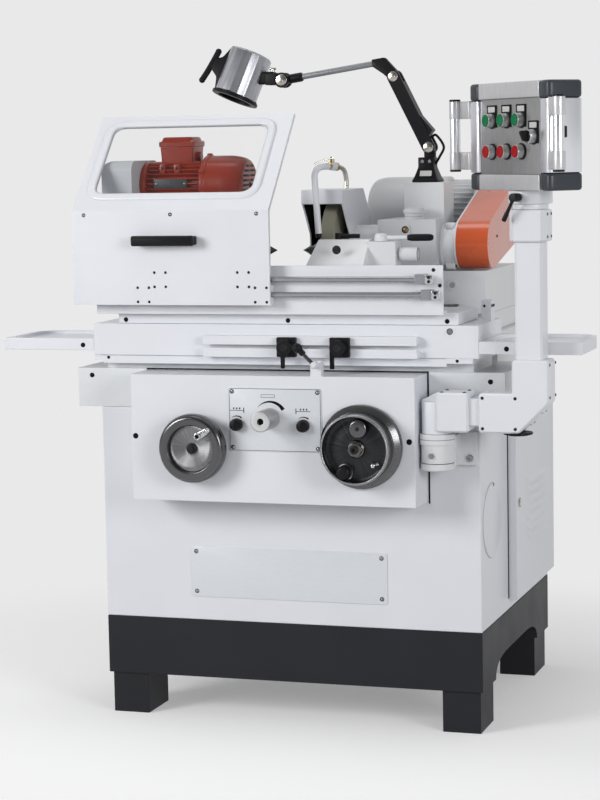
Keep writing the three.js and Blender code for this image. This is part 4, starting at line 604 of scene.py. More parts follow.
@dataclass(frozen=True)
class Finish:
    """A paint, metal, plastic or stone with the detail that its surface shows."""

    name: str
    slot: str
    color: Triple
    roughness: float
    grain: Grain
    metallic: float = 0.0
    spread: float = 0.05
    uneven: float = 0.06
    stretch: Triple = (1.0, 1.0, 1.0)
    lay: Lay = Lay.SPACE
    coat: float = 0.0
    alpha: float = 1.0
    anisotropic: float = 0.0
    specular: float = 0.5

    def material(self) -> bpy.types.Material:
        """Builds the finish's material once.

        Returns:
            The material: a broad and a fine noise together blend two tones of the colour and move
            the roughness, and the fine one raises the surface.
        """
        made = bpy.data.materials.get(self.name)
        if made is not None:
            return made
        made = bpy.data.materials.new(self.name)
        made.use_nodes = True
        graph = Graph(made.node_tree)
        scale, detail, height, tone = self.grain.value
        place = graph.add("TexCoord").outputs
        laid = graph.add("Mapping", {"Scale": self.stretch, "Vector": place[self.lay.value]})
        broad = graph.noise(place["Object"], *BROAD_NOISE)
        fine = graph.noise(laid.outputs["Vector"], scale, detail)
        blend = graph.add("Mix", {"Factor": tone, "A": broad, "B": fine}).outputs["Result"]
        ramp = graph.add("ValToRGB", {"Fac": blend})
        dark, light = ramp.color_ramp.elements
        dark.position, light.position = NOISE_SPAN
        dark.color = (*(channel * (1 - self.spread) for channel in self.color), 1.0)
        light.color = (*(min(channel * (1 + self.spread), 1.0) for channel in self.color), 1.0)
        gloss = {
            "Value": blend,
            "From Min": NOISE_SPAN[0],
            "From Max": NOISE_SPAN[1],
            "To Min": max(self.roughness - self.uneven, LEAST_ROUGHNESS),
            "To Max": self.roughness + self.uneven,
        }
        surface = {
            "Base Color": ramp.outputs["Color"],
            "Roughness": graph.add("MapRange", gloss).outputs["Result"],
            "Metallic": self.metallic,
            "Specular IOR Level": self.specular,
            "Coat Weight": self.coat,
            "Alpha": self.alpha,
        }
        if height:
            bump = {"Distance": height, "Strength": BUMP_STRENGTH, "Height": fine}
            surface["Normal"] = graph.add("Bump", bump).outputs["Normal"]
        if self.anisotropic:
            lay = graph.add("Tangent", direction_type="UV_MAP", uv_map="surface")
            surface |= {"Tangent": lay.outputs["Tangent"], "Anisotropic": self.anisotropic}
        graph.fill(made.node_tree.nodes["Principled BSDF"], surface)
        return made


ROUND_LAY = (0.02, 6.0, 1.0)
SPOKE_LAY = (2.4, 0.02, 1.0)

WHITE = Finish(
    "white_enamel", "white_paint", (0.775, 0.79, 0.835), 0.34, Grain.ENAMEL, spread=0.02, coat=0.1
)
CASTING = Finish(
    "white_casting", "white_paint", (0.74, 0.757, 0.775), 0.36, Grain.CAST, spread=0.035, coat=0.15
)
CHARCOAL = Finish(
    "charcoal_enamel", "black_paint", (0.016, 0.0165, 0.021), 0.5, Grain.ENAMEL, spread=0.1,
    specular=0.25
)
RED = Finish(
    "red_enamel", "red_paint", (0.255, 0.022, 0.006), 0.3, Grain.ENAMEL, spread=0.14, coat=0.1,
    specular=0.3
)
ORANGE = Finish(
    "orange_enamel", "orange_paint", (0.6, 0.095, 0.022), 0.26, Grain.ENAMEL, spread=0.05, coat=0.45
)
MOTOR_GREY = Finish(
    "motor_enamel", "grey_paint", (0.66, 0.67, 0.69), 0.42, Grain.ENAMEL, spread=0.05
)
GREY = Finish("grey_enamel", "grey_paint", (0.42, 0.44, 0.465), 0.4, Grain.CAST, spread=0.06)
PALE_GREY = Finish(
    "pale_grey_enamel", "grey_paint", (0.47, 0.49, 0.515), 0.45, Grain.ENAMEL, spread=0.04
)
CHROME = Finish(
    "ground_chrome", "bright_steel", (0.56, 0.57, 0.59), 0.16, Grain.POLISHED, 1.0, 0.05, 0.04
)
ROD_STEEL = Finish(
    "ground_rod", "bright_steel", (0.36, 0.37, 0.4), 0.26, Grain.POLISHED, 0.7, 0.05, 0.03
)
BEZEL = Finish(
    "satin_bezel", "bright_steel", (0.7, 0.7, 0.7), 0.32, Grain.POLISHED, 0.75, 0.05, 0.04
)
KNOB_STEEL = Finish(
    "satin_steel", "dark_steel", (0.4, 0.4, 0.41), 0.4, Grain.POLISHED, 0.6, 0.05, 0.03
)
NICKEL = Finish("nickel", "bright_steel", (0.52, 0.5, 0.46), 0.24, Grain.POLISHED, 1.0, 0.08, 0.05)
TURNED = Finish(
    "turned_steel", "dark_steel", (0.3, 0.3, 0.31), 0.28, Grain.TURNED, 1.0, 0.16, 0.05, ROUND_LAY,
    Lay.SURFACE, anisotropic=0.8,
)
# Tone streaks round the disc: partly its faced grain, partly painted reflection of bright sectors
SPOKED_SHEEN = Finish(
    "faced_steel_painted_sheen", "dark_steel", (0.26, 0.26, 0.27), 0.38, Grain.TURNED, 1.0, 0.3, 0.06, SPOKE_LAY,
    Lay.SURFACE, anisotropic=0.85,
)
RIM_STEEL = Finish(
    "polished_dark_steel", "dark_steel", (0.13, 0.13, 0.135), 0.22, Grain.TURNED, 1.0, 0.2, 0.06,
    ROUND_LAY, Lay.SURFACE,
)
# Dark, with strong tone streaks round the dish: partly grain, partly painted reflection
DISH_SHEEN_STEEL = Finish(
    "dark_dish_painted_sheen", "dark_steel", (0.03, 0.031, 0.035), 0.36, Grain.TURNED, 0.7, 0.5, 0.1, SPOKE_LAY,
    Lay.SURFACE
)
DARK_STEEL = Finish(
    "blackened_steel", "dark_steel", (0.09, 0.09, 0.094), 0.3, Grain.POLISHED, 0.9, 0.15
)
GROUND = Finish("ground_steel", "dark_steel", (0.3, 0.3, 0.31), 0.26, Grain.BRUSHED, 1.0, 0.12)
IRON = Finish("machined_iron", "iron", (0.26, 0.27, 0.28), 0.4, Grain.CAST, 0.9, 0.1)
BRASS = Finish("brass", "bright_steel", (0.42, 0.32, 0.17), 0.3, Grain.POLISHED, 1.0, 0.12)
OXIDE = Finish(
    "black_oxide", "dark_steel", (0.016, 0.016, 0.018), 0.4, Grain.MOULDED, 0.1, 0.15, specular=0.25
)
ALUMINIUM = Finish(
    "bright_aluminium", "aluminium", (0.74, 0.75, 0.79), 0.3, Grain.BRUSHED, 1.0, 0.02, 0.02,
    (1, 1, 0.04)
)
DULL_TUBE = Finish("satin_tube", "aluminium", (0.27, 0.28, 0.3), 0.4, Grain.POLISHED, 0.35, 0.05)
# Strong tone streaks round the drum: partly brushed grain, partly painted reflection of the flutes'
# highlights
FLUTED_SHEEN = Finish(
    "fluted_aluminium_painted_sheen", "aluminium", (0.42, 0.425, 0.46), 0.32, Grain.POLISHED, 0.75, 0.5, 0.04,
    (1.0, 0.01, 1.0), Lay.SURFACE,
)
STAINLESS = Finish(
    "brushed_stainless", "aluminium", (0.37, 0.37, 0.375), 0.36, Grain.BRUSHED, 0.85, 0.16, 0.08,
    (9, 9, 0.4)
)
BAR_STEEL = Finish(
    "brushed_bar", "aluminium", (0.6, 0.6, 0.62), 0.34, Grain.BRUSHED, 0.5, 0.08, 0.08, (9, 9, 0.4)
)
PLATE = Finish(
    "plate_aluminium", "aluminium", (0.74, 0.765, 0.8), 0.4, Grain.BRUSHED, 0.2, 0.03,
    stretch=(1, 1, 12)
)
CAP_GREY = Finish(
    "corner_cap", "black_plastic", (0.036, 0.042, 0.052), 0.34, Grain.MOULDED, spread=0.1,
    specular=0.4,
)
PLASTIC = Finish(
    "moulded_black", "black_plastic", (0.009, 0.009, 0.011), 0.42, Grain.MOULDED, spread=0.2,
    specular=0.16
)
MOTOR_PLATE = Finish(
    "motor_plate", "aluminium", (0.045, 0.047, 0.052), 0.42, Grain.BRUSHED, 0.5, 0.15
)
INK = Finish(
    "engraved_black", "black_plastic", (0.007, 0.007, 0.008), 0.6, Grain.ENAMEL, spread=0.15,
    specular=0.1,
)
RUBBER = Finish(
    "cable_rubber", "rubber", (0.009, 0.009, 0.01), 0.6, Grain.MOULDED, spread=0.2, specular=0.15
)
STONE = Finish(
    "bonded_grit", "stone", (0.31, 0.3, 0.235), 0.85, Grain.GRIT, spread=0.08, specular=0.2
)
GLASS = Finish(
    "window_pane", "glass", (0.34, 0.37, 0.39), 0.05, Grain.CLEAR, spread=0.01, uneven=0.02,
    alpha=0.02,
)
GREEN = Finish(
    "green_cap", "green_plastic", (0.0, 0.17, 0.065), 0.36, Grain.MOULDED, spread=0.08,
    specular=0.15,
)
CRIMSON = Finish(
    "red_cap", "red_plastic", (0.37, 0.004, 0.007), 0.36, Grain.MOULDED, spread=0.08, specular=0.15
)
IVORY = Finish("label_insert", "aluminium", (0.62, 0.62, 0.6), 0.5, Grain.MOULDED, spread=0.03)


# Pieces

MERGE_GAP = 2e-6
WELD_GAP = 1e-5
FLAT_ANGLE = math.radians(0.6)
EDGE_ANGLE = math.radians(34)
FACE_WEIGHT = 60


def placed(name: str, data: bpy.types.ID) -> bpy.types.Object:
    """Adds an object to the scene.

    Args:
        name: Its name.
        data: Its mesh, light or camera.

    Returns:
        The object.
    """
    made = bpy.data.objects.new(name, data)
    bpy.context.scene.collection.objects.link(made)
    return made


def mesh_of(name: str, shells: Sequence[Shell]) -> bpy.types.Mesh:
    """Turns shells into one mesh in the frame's metres, each closed, merged and facing outwards.

    Args:
        name: The mesh's name.
        shells: The surfaces, in millimetres on the machine's axes.

    Returns:
        The mesh, with the surfaces' parameters as its UV map.
    """
    whole = bmesh.new()
    for shell in shells:
        part = bpy.data.meshes.new("part")
        part.from_pydata(((shell.points + SHIFT) * MM).tolist(), [], shell.faces)
        layer = part.uv_layers.new(name="surface")
        layer.data.foreach_set("uv", shell.corners.astype(np.float32).ravel())
        work = bmesh.new()
        work.from_mesh(part)
        bmesh.ops.remove_doubles(work, verts=work.verts, dist=MERGE_GAP)
        bmesh.ops.recalc_face_normals(work, faces=work.faces)
        work.to_mesh(part)
        work.free()
        whole.from_mesh(part)
        bpy.data.meshes.remove(part)
    mesh = bpy.data.meshes.new(name)
    whole.to_mesh(mesh)
    whole.free()
    return mesh


def make(
    name: str,
    shells: Sequence[Shell],
    finish: Finish,
    body: str,
    replaces: Sequence[str] = (),
    angle: float = 32.0,
) -> bpy.types.Object:
    """Makes one piece of the dressed model.

    Args:
        name: The piece's name.
        shells: Its surfaces, in millimetres on the machine's axes.
        finish: Its finish.
        body: The body that it rides on.
        replaces: The solids that it stands for.
        angle: Edges sharper than this, in degrees, stay sharp.

    Returns:
        The piece, riding on its body.
    """
    mesh = mesh_of(name, shells)
    mesh.shade_smooth()
    mesh.set_sharp_from_angle(angle=math.radians(angle))
    mesh.materials.append(finish.material())
    piece = placed(name, mesh)
    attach(piece, body)
    if replaces:
        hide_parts(*replaces)
    log.info("%s: %d faces on %s", name, len(mesh.polygons), body)
    return piece


def dress(node: str, finish: Finish, edge: float = 1.5, segments: int = 3) -> None:
    """Gives a solid its finish and rounds its edges with live modifiers.

    Args:
        node: The solid's name.
        finish: Its finish.
        edge: Width of the rounded edges, in millimetres.
        segments: Faces across each rounded edge.
    """
    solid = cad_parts[node]
    solid.data.materials.clear()
    solid.data.materials.append(finish.material())
    solid.data.shade_smooth()
    weld = solid.modifiers.new("weld", "WELD")
    weld.merge_threshold = WELD_GAP
    flat = solid.modifiers.new("flat", "DECIMATE")
    flat.decimate_type = "DISSOLVE"
    flat.angle_limit = FLAT_ANGLE
    rim = solid.modifiers.new("rim", "BEVEL")
    rim.width = edge * MM
    rim.segments = segments
    rim.limit_method = "ANGLE"
    rim.angle_limit = EDGE_ANGLE
    rim.use_clamp_overlap = True
    even = solid.modifiers.new("even", "WEIGHTED_NORMAL")
    even.weight = FACE_WEIGHT
    even.keep_sharp = False
    log.info("%s: dressed in %s", node, finish.name)


# Sub-assemblies


@dataclass
class Base:
    """The plinth, cabinet, bed and apron, with the plates and covers on them."""

    name_plate: tuple[float, float, float, float] = (-237, 233, 286, 405)
    control_plate: tuple[float, float, float, float] = (-97, 120, 643, 786)
    apron_face: float = -110.0
    bed_bolts: Sequence[Pair] = ((-472, 797), (474, 794))
    apron_screws: Sequence[Pair] = ((-322, 672), (318, 672))
    speed_centre: Pair = (0, 718)
    dwell_centres: Sequence[Pair] = ((-78, 703), (78, 703))

    def build(self) -> None:
        """Dresses the castings and adds the plates, screws and louvres."""
        dress("plinth", CHARCOAL, 3.0)
        dress("cabinet", WHITE, 3.0)
        dress("electrical_door", WHITE, 0.8)
        dress("bed", CASTING, 3.0)
        dress("apron", WHITE, 0.8)
        dress("pendant_bracket", CASTING, 0.8)
        dress("cross_slide", CASTING, 2.0)
        self.plates()
        self.plate_marks()
        self.screws()
        self.seals()
        self.side_cover()
        self.louvres()
        self.bracket_rings()

    def plates(self) -> None:
        """Lays the two bare plates, each with a rounded rim, and a border line on the upper one."""
        x0, x1, z0, z1 = self.name_plate
        rim = box_line((x0, x1), (z0, z1), 6)
        make("name_plate", [slab(rim, front(0), 0.1, 2.0, 0.6)], PLATE, "base")
        x0, x1, z0, z1 = self.control_plate
        face = front(self.apron_face)
        rim = box_line((x0, x1), (z0, z1), 5)
        make("control_plate", [slab(rim, face, 0.1, 1.8, 0.5)], PLATE, "base")
        border = inset(rim, 2.0)
        rows = ((0, 1.7), (0, 2.0), (1.0, 2.0), (1.0, 1.7))
        lines = np.stack([face.lift(inset(border, d), h) for d, h in rows])
        make("control_plate_border", [grid(lines, wrap_rows=True)], INK, "base")

    def marked_face(self) -> Plane:
        """The plane just inside the control plate's face, drawn as (x, z)."""
        return front(self.apron_face - 1.75)

    def arc(self, centre: Pair, radius: float, widths: Pair, span: Triple) -> Shell:
        """Engraves a tapered arc: its width runs evenly from one value to another.

        Args:
            centre: The arc's centre on the plate.
            radius: The middle line's radius.
            widths: The width at each end.
            span: The first and the last angle in degrees, and the number of points.

        Returns:
            The thin raised arc.
        """
        t = np.radians(np.linspace(span[0], span[1], int(span[2])))
        half = np.linspace(*widths, len(t)) / 2
        spokes = np.stack([np.cos(t), np.sin(t)], axis=1)
        loop = np.concatenate(
            [spokes * (radius + half)[:, None], (spokes * (radius - half)[:, None])[::-1]]
        )
        return lofted([loop + np.array(centre)] * 2, self.marked_face(), (0.0, 0.25))

    def plate_marks(self) -> None:
        """Engraves plain marks: a wide arc over the speed knob, small arcs and bars elsewhere."""
        x, z = self.speed_centre
        face = self.marked_face()
        marks = [self.arc((x, z), 37, (0.6, 8.5), (140, 32, 28))]
        frame_line = box_line((x - 20, x + 12), (z + 46, z + 53))
        rows = ((0, 0), (0, 0.2), (0.8, 0.2), (0.8, 0))
        ring = np.stack([face.lift(inset(frame_line, d), h) for d, h in rows])
        marks.append(grid(ring, wrap_rows=True))
        for side, (a, b) in zip((-1, 1), self.dwell_centres):
            marks.append(self.arc((a, b), 19, (1.0, 3.2), (128, 52, 12)))
            for p, q in (
                ((a - 16, a + 16), (b + 31, b + 32.2)),
                ((a + side * -17 - 1, a + side * -17 + 1), (b + 26, b + 38)),
            ):
                marks.append(slab(box_line(p, q), face, 0, 0.25, 0.05))
            for k in range(3):
                bit = box_line((a - 8 + 7 * k, a - 5 + 7 * k), (b + 34, b + 38))
                marks.append(slab(bit, face, 0, 0.25, 0.05))
        make("control_plate_marks", marks, INK, "base")

    def screws(self) -> None:
        """Sets the socket screws of the bed, apron and plates."""
        bolts = [socket_screw((x, 0.1, z), FORWARD, 5.6, 1.6) for x, z in self.bed_bolts]
        bolts += [
            socket_screw((x, self.apron_face + 0.1, z), FORWARD, 6.4, 1.4)
            for x, z in self.apron_screws
        ]
        make("casting_screws", bolts, INK, "base")
        heads, rings = [], []
        for (x0, x1, z0, z1), y, gap in (
            (self.name_plate, -1.8, 13), (self.control_plate, self.apron_face - 1.6, 9)
        ):
            for x in (x0 + gap, x1 - gap):
                for z in (z0 + gap, z1 - gap):
                    heads.append(dome_screw((x, y, z), FORWARD, 3.8))
                    rings.append(washer((x, y - 0.1, z), FORWARD, 3.7, 5.2, 0.3))
        make("plate_screws", heads, GROUND, "base")
        make("plate_screw_rings", rings, OXIDE, "base")

    def seals(self) -> None:
        """Runs the dark joints round the apron's back, and a black strip down the electrical door's
        front edge that is part seal and part painted shade of the gap.
        """
        face = front(0)
        lines = [
            ((331.4, 334.6), (520, 815.4)), ((-334.6, -331.4), (560, 815.4)),
            ((-331.4, 331.4), (812.4, 815.4)),
        ]
        strips = [slab(box_line(x, z), face, 0.05, 1.6, 0.3) for x, z in lines]
        # partly painted shade: this strip is the door's seal and also stands for the shadow in the
        # gap at its front edge
        strips.append(slab(box_line((261.6, 267.4), (258, 704)), right(450), 0.05, 1.2, 0.3))
        make("joint_seals_and_gap_shade", strips, INK, "base")

    def side_cover(self) -> None:
        """Closes the round hole in the cabinet's right side with a thin disc and its screw."""
        disc = slab(ring_line((100, 470), 84, 64), right(450), 0.05, 2.6, 1.2)
        make("side_cover", [disc], WHITE, "base")
        make("side_cover_screw", [dome_screw((452.5, 110, 550), RIGHTWARD, 5.0)], GROUND, "base")
        joint = washer((450, 100, 470), RIGHTWARD, 84.1, 85.6, 0.5)
        make("side_cover_joint", [joint], GREY, "base")

    def louvres(self) -> None:
        """Presses a column of louvres into the electrical door.

        Each is a hood: its height off the door is h sin(pi s) ** 0.3 sin(0.55 pi t), with s along
        it and t down it.
        """
        s, t = np.meshgrid(np.linspace(0, 1, 33), np.linspace(0, 1, 7), indexing="ij")
        lift = 7.5 * np.sin(math.pi * s) ** 0.3 * np.sin(0.55 * math.pi * t) - 0.3
        shells = []
        for k in range(7):
            flat = np.stack([384 + 206 * s, 527 - 22.6 * k - 13 * t], axis=-1)
            hood = right(470.3).lift(flat.reshape(-1, 2), lift.reshape(-1)).reshape(33, 7, 3)
            inner = hood - np.array([1.4, 0, 0])
            shells.append(grid(np.concatenate([hood, inner[:, ::-1]], axis=1)))
        make("door_louvres", shells, WHITE, "electrical_door")
        lock = [bar((470.2, 300, 480), (474.2, 300, 480), 11, 1.2)]
        make("door_lock", lock, NICKEL, "electrical_door")

    def bracket_rings(self) -> None:
        """Fits the bracket's collars, its clamp screw and its fixing bolt."""
        centre, up = (370, -65, 0), UPWARD
        collar = eased(
            [(35.8, 664), (39, 664), (39, 674), (38.2, 675), (39, 676), (39, 686.6), (35.8, 686.6)],
            0.8,
        )
        foot = eased([(35.8, 609), (34, 606.4), (37, 609), (37, 622), (35.8, 622)], 0.6)
        collars = [revolved(p, centre, up, 64, ring=True) for p in (collar, foot)]
        make("bracket_collars", collars, CASTING, "base")
        lines = [
            revolved(box_line(r, z), centre, up, 64, ring=True)
            for r, z in (((35.9, 36.5), (622.4, 623.6)), ((38.0, 38.7), (674.6, 675.4)))
        ]
        make("bracket_lines", lines, INK, "base")
        heads = [
            hexagon_head((365, -100.5, 641), FORWARD, 6.5, 4.5),
            socket_screw((429, -11.6, 626), FORWARD, 8, 5),
        ]
        rings = [washer((429, -11.8, 626), FORWARD, 7.8, 12, 1.5)]
        make("bracket_screws", heads, GROUND, "base")
        make("bracket_washer", rings, CASTING, "base")


@dataclass
class Controls:
    """The handwheels, knobs and reversing lever on the apron."""

    table_wheel: Pair = (-174, 651)
    cross_wheel: Pair = (211, 660)

    def build(self) -> None:
        """Builds every hand control."""
        self.speed_knob()
        self.dwell_knobs()
        self.reversing_lever()
        self.table_handwheel()
        self.table_crank()
        self.cross_handwheel()

    def outwards(
        self, x: float, z: float, profile: Sequence, sides: int = 64, ring: bool = False
    ) -> Shell:
        """Turns a profile of (radius, distance in front of the cabinet) round an axis at (x, z)."""
        return revolved(profile, (x, 0, z), FORWARD, sides, ring)

    def speed_knob(self) -> None:
        """Turns the stepless speed knob, with its faced end and dark centre hole."""
        side = eased(
            [(7.5, 110.4), (23, 110.4), (23, 178.0), (20, 178.0), (7.5, 177.0)],
            [0, 0.5, 2.0, 0.3, 0],
        )
        turned = self.outwards(0, 718, side, 72, True)
        make("speed_knob_turned", [turned], KNOB_STEEL, "speed_knob", ["speed_knob"])
        face = eased([(7.6, 176), (20.6, 176), (20.6, 178.3), (7.6, 178.3)], 0.4)
        make("speed_knob_face", [self.outwards(0, 718, face, 72, True)], BEZEL, "speed_knob")
        well = [(0, 168.2), (7.7, 168.2), (7.7, 170), (0, 170)]
        make("speed_knob_well", [self.outwards(0, 718, well, 32)], INK, "speed_knob")

    def dwell_knobs(self) -> None:
        """Moulds the two dwell knobs with a fluted skirt and a pointer edge."""
        t = angles(72)
        flute = 0.5 * np.cos(18 * t)
        for name, x in (("left_dwell_knob", -78), ("right_dwell_knob", 78)):
            profile = [
                (0, 110.5), (13.8, 110.5), (14, 112), (13.6, 122), (13, 126), (11.5, 129),
                (9, 130.2), (0, 130.2),
            ]
            rows = [(radius + flute * (radius > 12.5), along) for radius, along in profile]
            rows[0], rows[-1] = (0 * t, 110.5), (0 * t, 130.2)
            pointer = slab(
                box_line((x - 1.6, x + 1.6), (694, 712), 1.2), front(-130.0), 0, 1.6, 0.6
            )
            skirt = spoked(rows, (x, 0, 703), FORWARD, t)
            make(f"{name}_cap", [skirt, pointer], PLASTIC, name, [name])

    def reversing_lever(self) -> None:
        """Makes the reversing lever: boss, bent rod and ball."""
        y = -114.8
        boss = eased(
            [(0, 103.9), (8, 103.9), (8, 122), (5, 125.7), (0, 125.7)], [0, 1, 2, 1, 0],
            closed=False,
        )
        route = smoothed([(107, y, 838), (94, y, 849), (68, y, 875)], 16)
        body = "reversing_lever"
        make("reversing_boss", [revolved(boss, (107, 0, 838), FORWARD, 40)], CASTING, body, [body])
        rod = carried(ring_line((0, 0), 4.3, 20), route, (0, 1, 0))
        make("reversing_rod", [rod], RIM_STEEL, body)
        knob = [ball((68, y, 875), 11, (1, 0, -1)), bar((74, y, 869), (82, y, 861), 7, 2)]
        make("reversing_ball", knob, PLASTIC, body)

    def table_handwheel(self) -> None:
        """Turns the table handwheel: dark tapered rim, bright faced disc and black hub."""
        x, z = self.table_wheel
        rim = eased(
            [
                (52, 148.3), (54, 158.3), (71, 158.3), (77.5, 149.3), (77.5, 129.3), (72, 124.3),
                (51, 124.3),
            ],
            [0.8, 2.0, 5, 6, 3, 2, 0.5],
            steps=6,
        )
        shaft = [(0, 110.4), (20, 110.4), (20, 124.8), (0, 124.8)]
        shells = [self.outwards(x, z, rim, 96, ring=True), self.outwards(x, z, shaft)]
        make("table_wheel_rim", shells, RIM_STEEL, "table_handwheel", ["table_handwheel"])
        disc = eased(
            [(0, 126), (50.9, 126), (51.6, 148.2), (44, 148.8), (16, 144.0), (0, 144.0)],
            [0, 0, 0.6, 3, 2, 0],
            closed=False,
        )
        make("table_wheel_disc", [self.outwards(x, z, disc, 96)], SPOKED_SHEEN, "table_handwheel")
        hub = eased(
            [(0, 143.8), (12.5, 143.8), (12.5, 147.5), (10, 150), (0, 150)], [0, 0.6, 1.5, 1, 0],
            closed=False,
        )
        nut = hexagon_head((x, -149.9, z), FORWARD, 7.0, 4.0)
        make("table_wheel_hub", [self.outwards(x, z, hub), nut], OXIDE, "table_handwheel")

    def table_crank(self) -> None:
        """Makes the folding crank: a plated boss with a dark socket, and a looped link."""
        boss = eased([(4.8, 148.7), (8, 148.7), (8, 170.3), (4.8, 170.3)], [0, 0.6, 1.2, 0.6])
        link = eased(
            [(-158, 677), (-146, 674.5), (-124, 690), (-125, 699), (-133, 700), (-158, 687)], 6,
            steps=6,
        )
        tip = ball((-128.5, -165.5, 694.5), 6.2, FORWARD)
        shells = [
            self.outwards(-152, 681, boss, 48, True), slab(link, front(0), 159.8, 166.5, 2.2, True),
            tip,
        ]
        make("table_crank_plated", shells, CHROME, "table_crank", ["table_crank"])
        well = [self.outwards(-152, 681, [(0, 166), (5, 166), (5, 167), (0, 167)], 32)]
        make("table_crank_socket", well, INK, "table_crank")

    def cross_handwheel(self) -> None:
        """Turns the cross-feed handwheel: graduated ring, dished wheel, hub and two knobs."""
        x, z = self.cross_wheel
        body = "cross_feed_handwheel"
        dial = eased(
            [(0, 110.4), (93, 110.4), (93, 124), (79, 134), (0, 134)], [0, 1.5, 2.5, 1, 0],
            closed=False,
        )
        make("cross_dial", [self.outwards(x, z, dial, 120)], RIM_STEEL, body, [body])
        rim = eased(
            [(70.5, 150.3), (71.5, 174), (74.5, 176.3), (78, 172), (78, 134.3), (70, 134.3)],
            [0.5, 2, 2.5, 3, 1, 0.5],
            steps=6,
        )
        make("cross_wheel_rim", [self.outwards(x, z, rim, 96, ring=True)], TURNED, body)
        dish = eased(
            [(0, 134.3), (70.0, 134.3), (70.6, 152), (64, 150), (36, 154.4), (0, 154.4)],
            [0, 0, 1, 4, 6, 0], closed=False
        )
        make("cross_wheel_dish", [self.outwards(x, z, dish, 96)], DISH_SHEEN_STEEL, body)
        hub = eased(
            [(0, 154.3), (21, 154.3), (19, 160), (15, 162), (15, 170), (0, 170)], 1.5, closed=False
        )
        make("cross_wheel_hub", [self.outwards(x, z, hub, 64)], RIM_STEEL, body)
        collar = hexagon_head((x, -161.5, z), FORWARD, 17.5, 6.5)
        make("cross_wheel_collar", [collar], BRASS, body)
        make("cross_wheel_screw", [socket_screw((x, -167.8, z), FORWARD, 9.2, 7.6)], OXIDE, body)
        self.cross_ticks(x, z)
        knob = eased(
            [(0, 150), (20.5, 150), (20.5, 170), (17, 173), (0, 174)], [0, 1, 3, 2, 0], closed=False
        )
        pin = eased([(0, 173), (4.5, 173), (4.5, 176), (0, 176)], [0, 0.4, 1, 0], closed=False)
        make("cross_fine_knob", [self.outwards(x + 8, z + 46, knob, 64)], RIM_STEEL, body)
        make("cross_fine_pin", [self.outwards(x + 8, z + 46, pin, 24)], OXIDE, body)
        grip = eased(
            [(0, 152), (16, 152), (16, 172), (12, 177), (0, 178)], [0, 1, 2, 3, 0], closed=False
        )
        make("cross_fold_knob", [self.outwards(x - 26, z - 51, grip, 48)], PLASTIC, body)
        band = [(16, 152), (18.5, 152), (18, 155), (16, 155)]
        collar = self.outwards(x - 26, z - 51, band, 48, True)
        make("cross_fold_collar", [collar], CHROME, body)
        lug = [
            ball((250, -160, 625), 7, FORWARD), bar((250, -158, 625), (262, -156, 630), 4.0, 1.0)
        ]
        make("cross_clamp_lug", lug, CHROME, body)

    def cross_ticks(self, x: float, z: float) -> None:
        """Engraves the ring's marks on its bevel, every fifth one longer.

        Args:
            x: Where the wheel's axis is, across.
            z: Where it is, up.
        """
        marks = []
        for k in range(100):
            t = math.tau * k / 100
            out = np.array([math.cos(t), 0, math.sin(t)])
            side = np.array([-math.sin(t), 0, math.cos(t)])
            slope = unit(out * 14 + np.array([0, 10.0, 0]))
            lift = np.cross(side, slope)
            lift = lift * np.sign(-lift[1])
            start = np.array([x, -133.3, z]) + out * 80.2
            reach = 9.0 if k % 5 == 0 else 5.0
            corners = [start - side * 0.25, start + side * 0.25]
            corners = [*corners, corners[1] + slope * reach, corners[0] + slope * reach]
            marks.append(
                grid(np.stack([np.array(corners) - 0.3 * lift, np.array(corners) + 0.12 * lift]))
            )
        make("cross_dial_marks", marks, INK, "cross_feed_handwheel")


@dataclass
class Tables:
    """The sliding and swivelling tables, their wings and the reversing dogs."""

    plugs: Span = (-375, 16, 383)
    ring_bolt: Pair = (390, 906)
    wing_bolts: Span = (-482, 516)

    def build(self) -> None:
        """Dresses the tables and adds their screws and stops."""
        dress("lower_table", WHITE, 1.8)
        dress("left_wing", WHITE, 6.0, 4)
        dress("right_wing", WHITE, 6.0, 4)
        dress("upper_table", WHITE, 2.0)
        dress("left_dog", PLASTIC, 2.0)
        dress("right_dog", PLASTIC, 2.0)
        plugs = [socket_screw((x, -19.9, 928), FORWARD, 5.4, 1.2) for x in self.plugs]
        make("upper_table_plugs", plugs, INK, "swivel_table")
        x, z = self.ring_bolt
        make("table_ring_washer", [washer((x, -24.9, z), FORWARD, 7.2, 11.5, 1.0)], WHITE, "table")
        make("table_ring_line", [washer((x, -24.9, z), FORWARD, 6.2, 7.2, 0.6)], INK, "table")
        make("table_ring_bolt", [socket_screw((x, -24.9, z), FORWARD, 6.2, 1.4)], GROUND, "table")
        bolts = [socket_screw((x, -24.9, 869), FORWARD, 5.6, 1.2) for x in self.wing_bolts]
        bolts += [socket_screw((x, -21.9, 841), FORWARD, 3.6, 1.0) for x in (-420, 405)]
        make("wing_screws", bolts, INK, "table")
        self.edges()

    def edges(self) -> None:
        """Lays a grey line under the table's edge as painted shade, and sets the stop block's and
        the dogs' screws.
        """
        # painted shade: a thin grey line stands for the shadow under the table's front edge
        shade_line = slab(box_line((-440, 380), (846.6, 847.8)), front(-25), 0.02, 0.5, 0.15)
        make("table_edge_shade", [shade_line], GREY, "table")
        screws = [dome_screw((452.2, y, 953), RIGHTWARD, 3.6) for y in (112, 124, 134)]
        screws += [dome_screw((437, 104.8, 953), FORWARD, 3.0)]
        make("stop_screws", screws, OXIDE, "table")
        for dog, x in (("left_dog", 22), ("right_dog", 146)):
            make(f"{dog}_screw", [socket_screw((x, -73.1, 871), FORWARD, 9.0, 1.6)], OXIDE, dog)


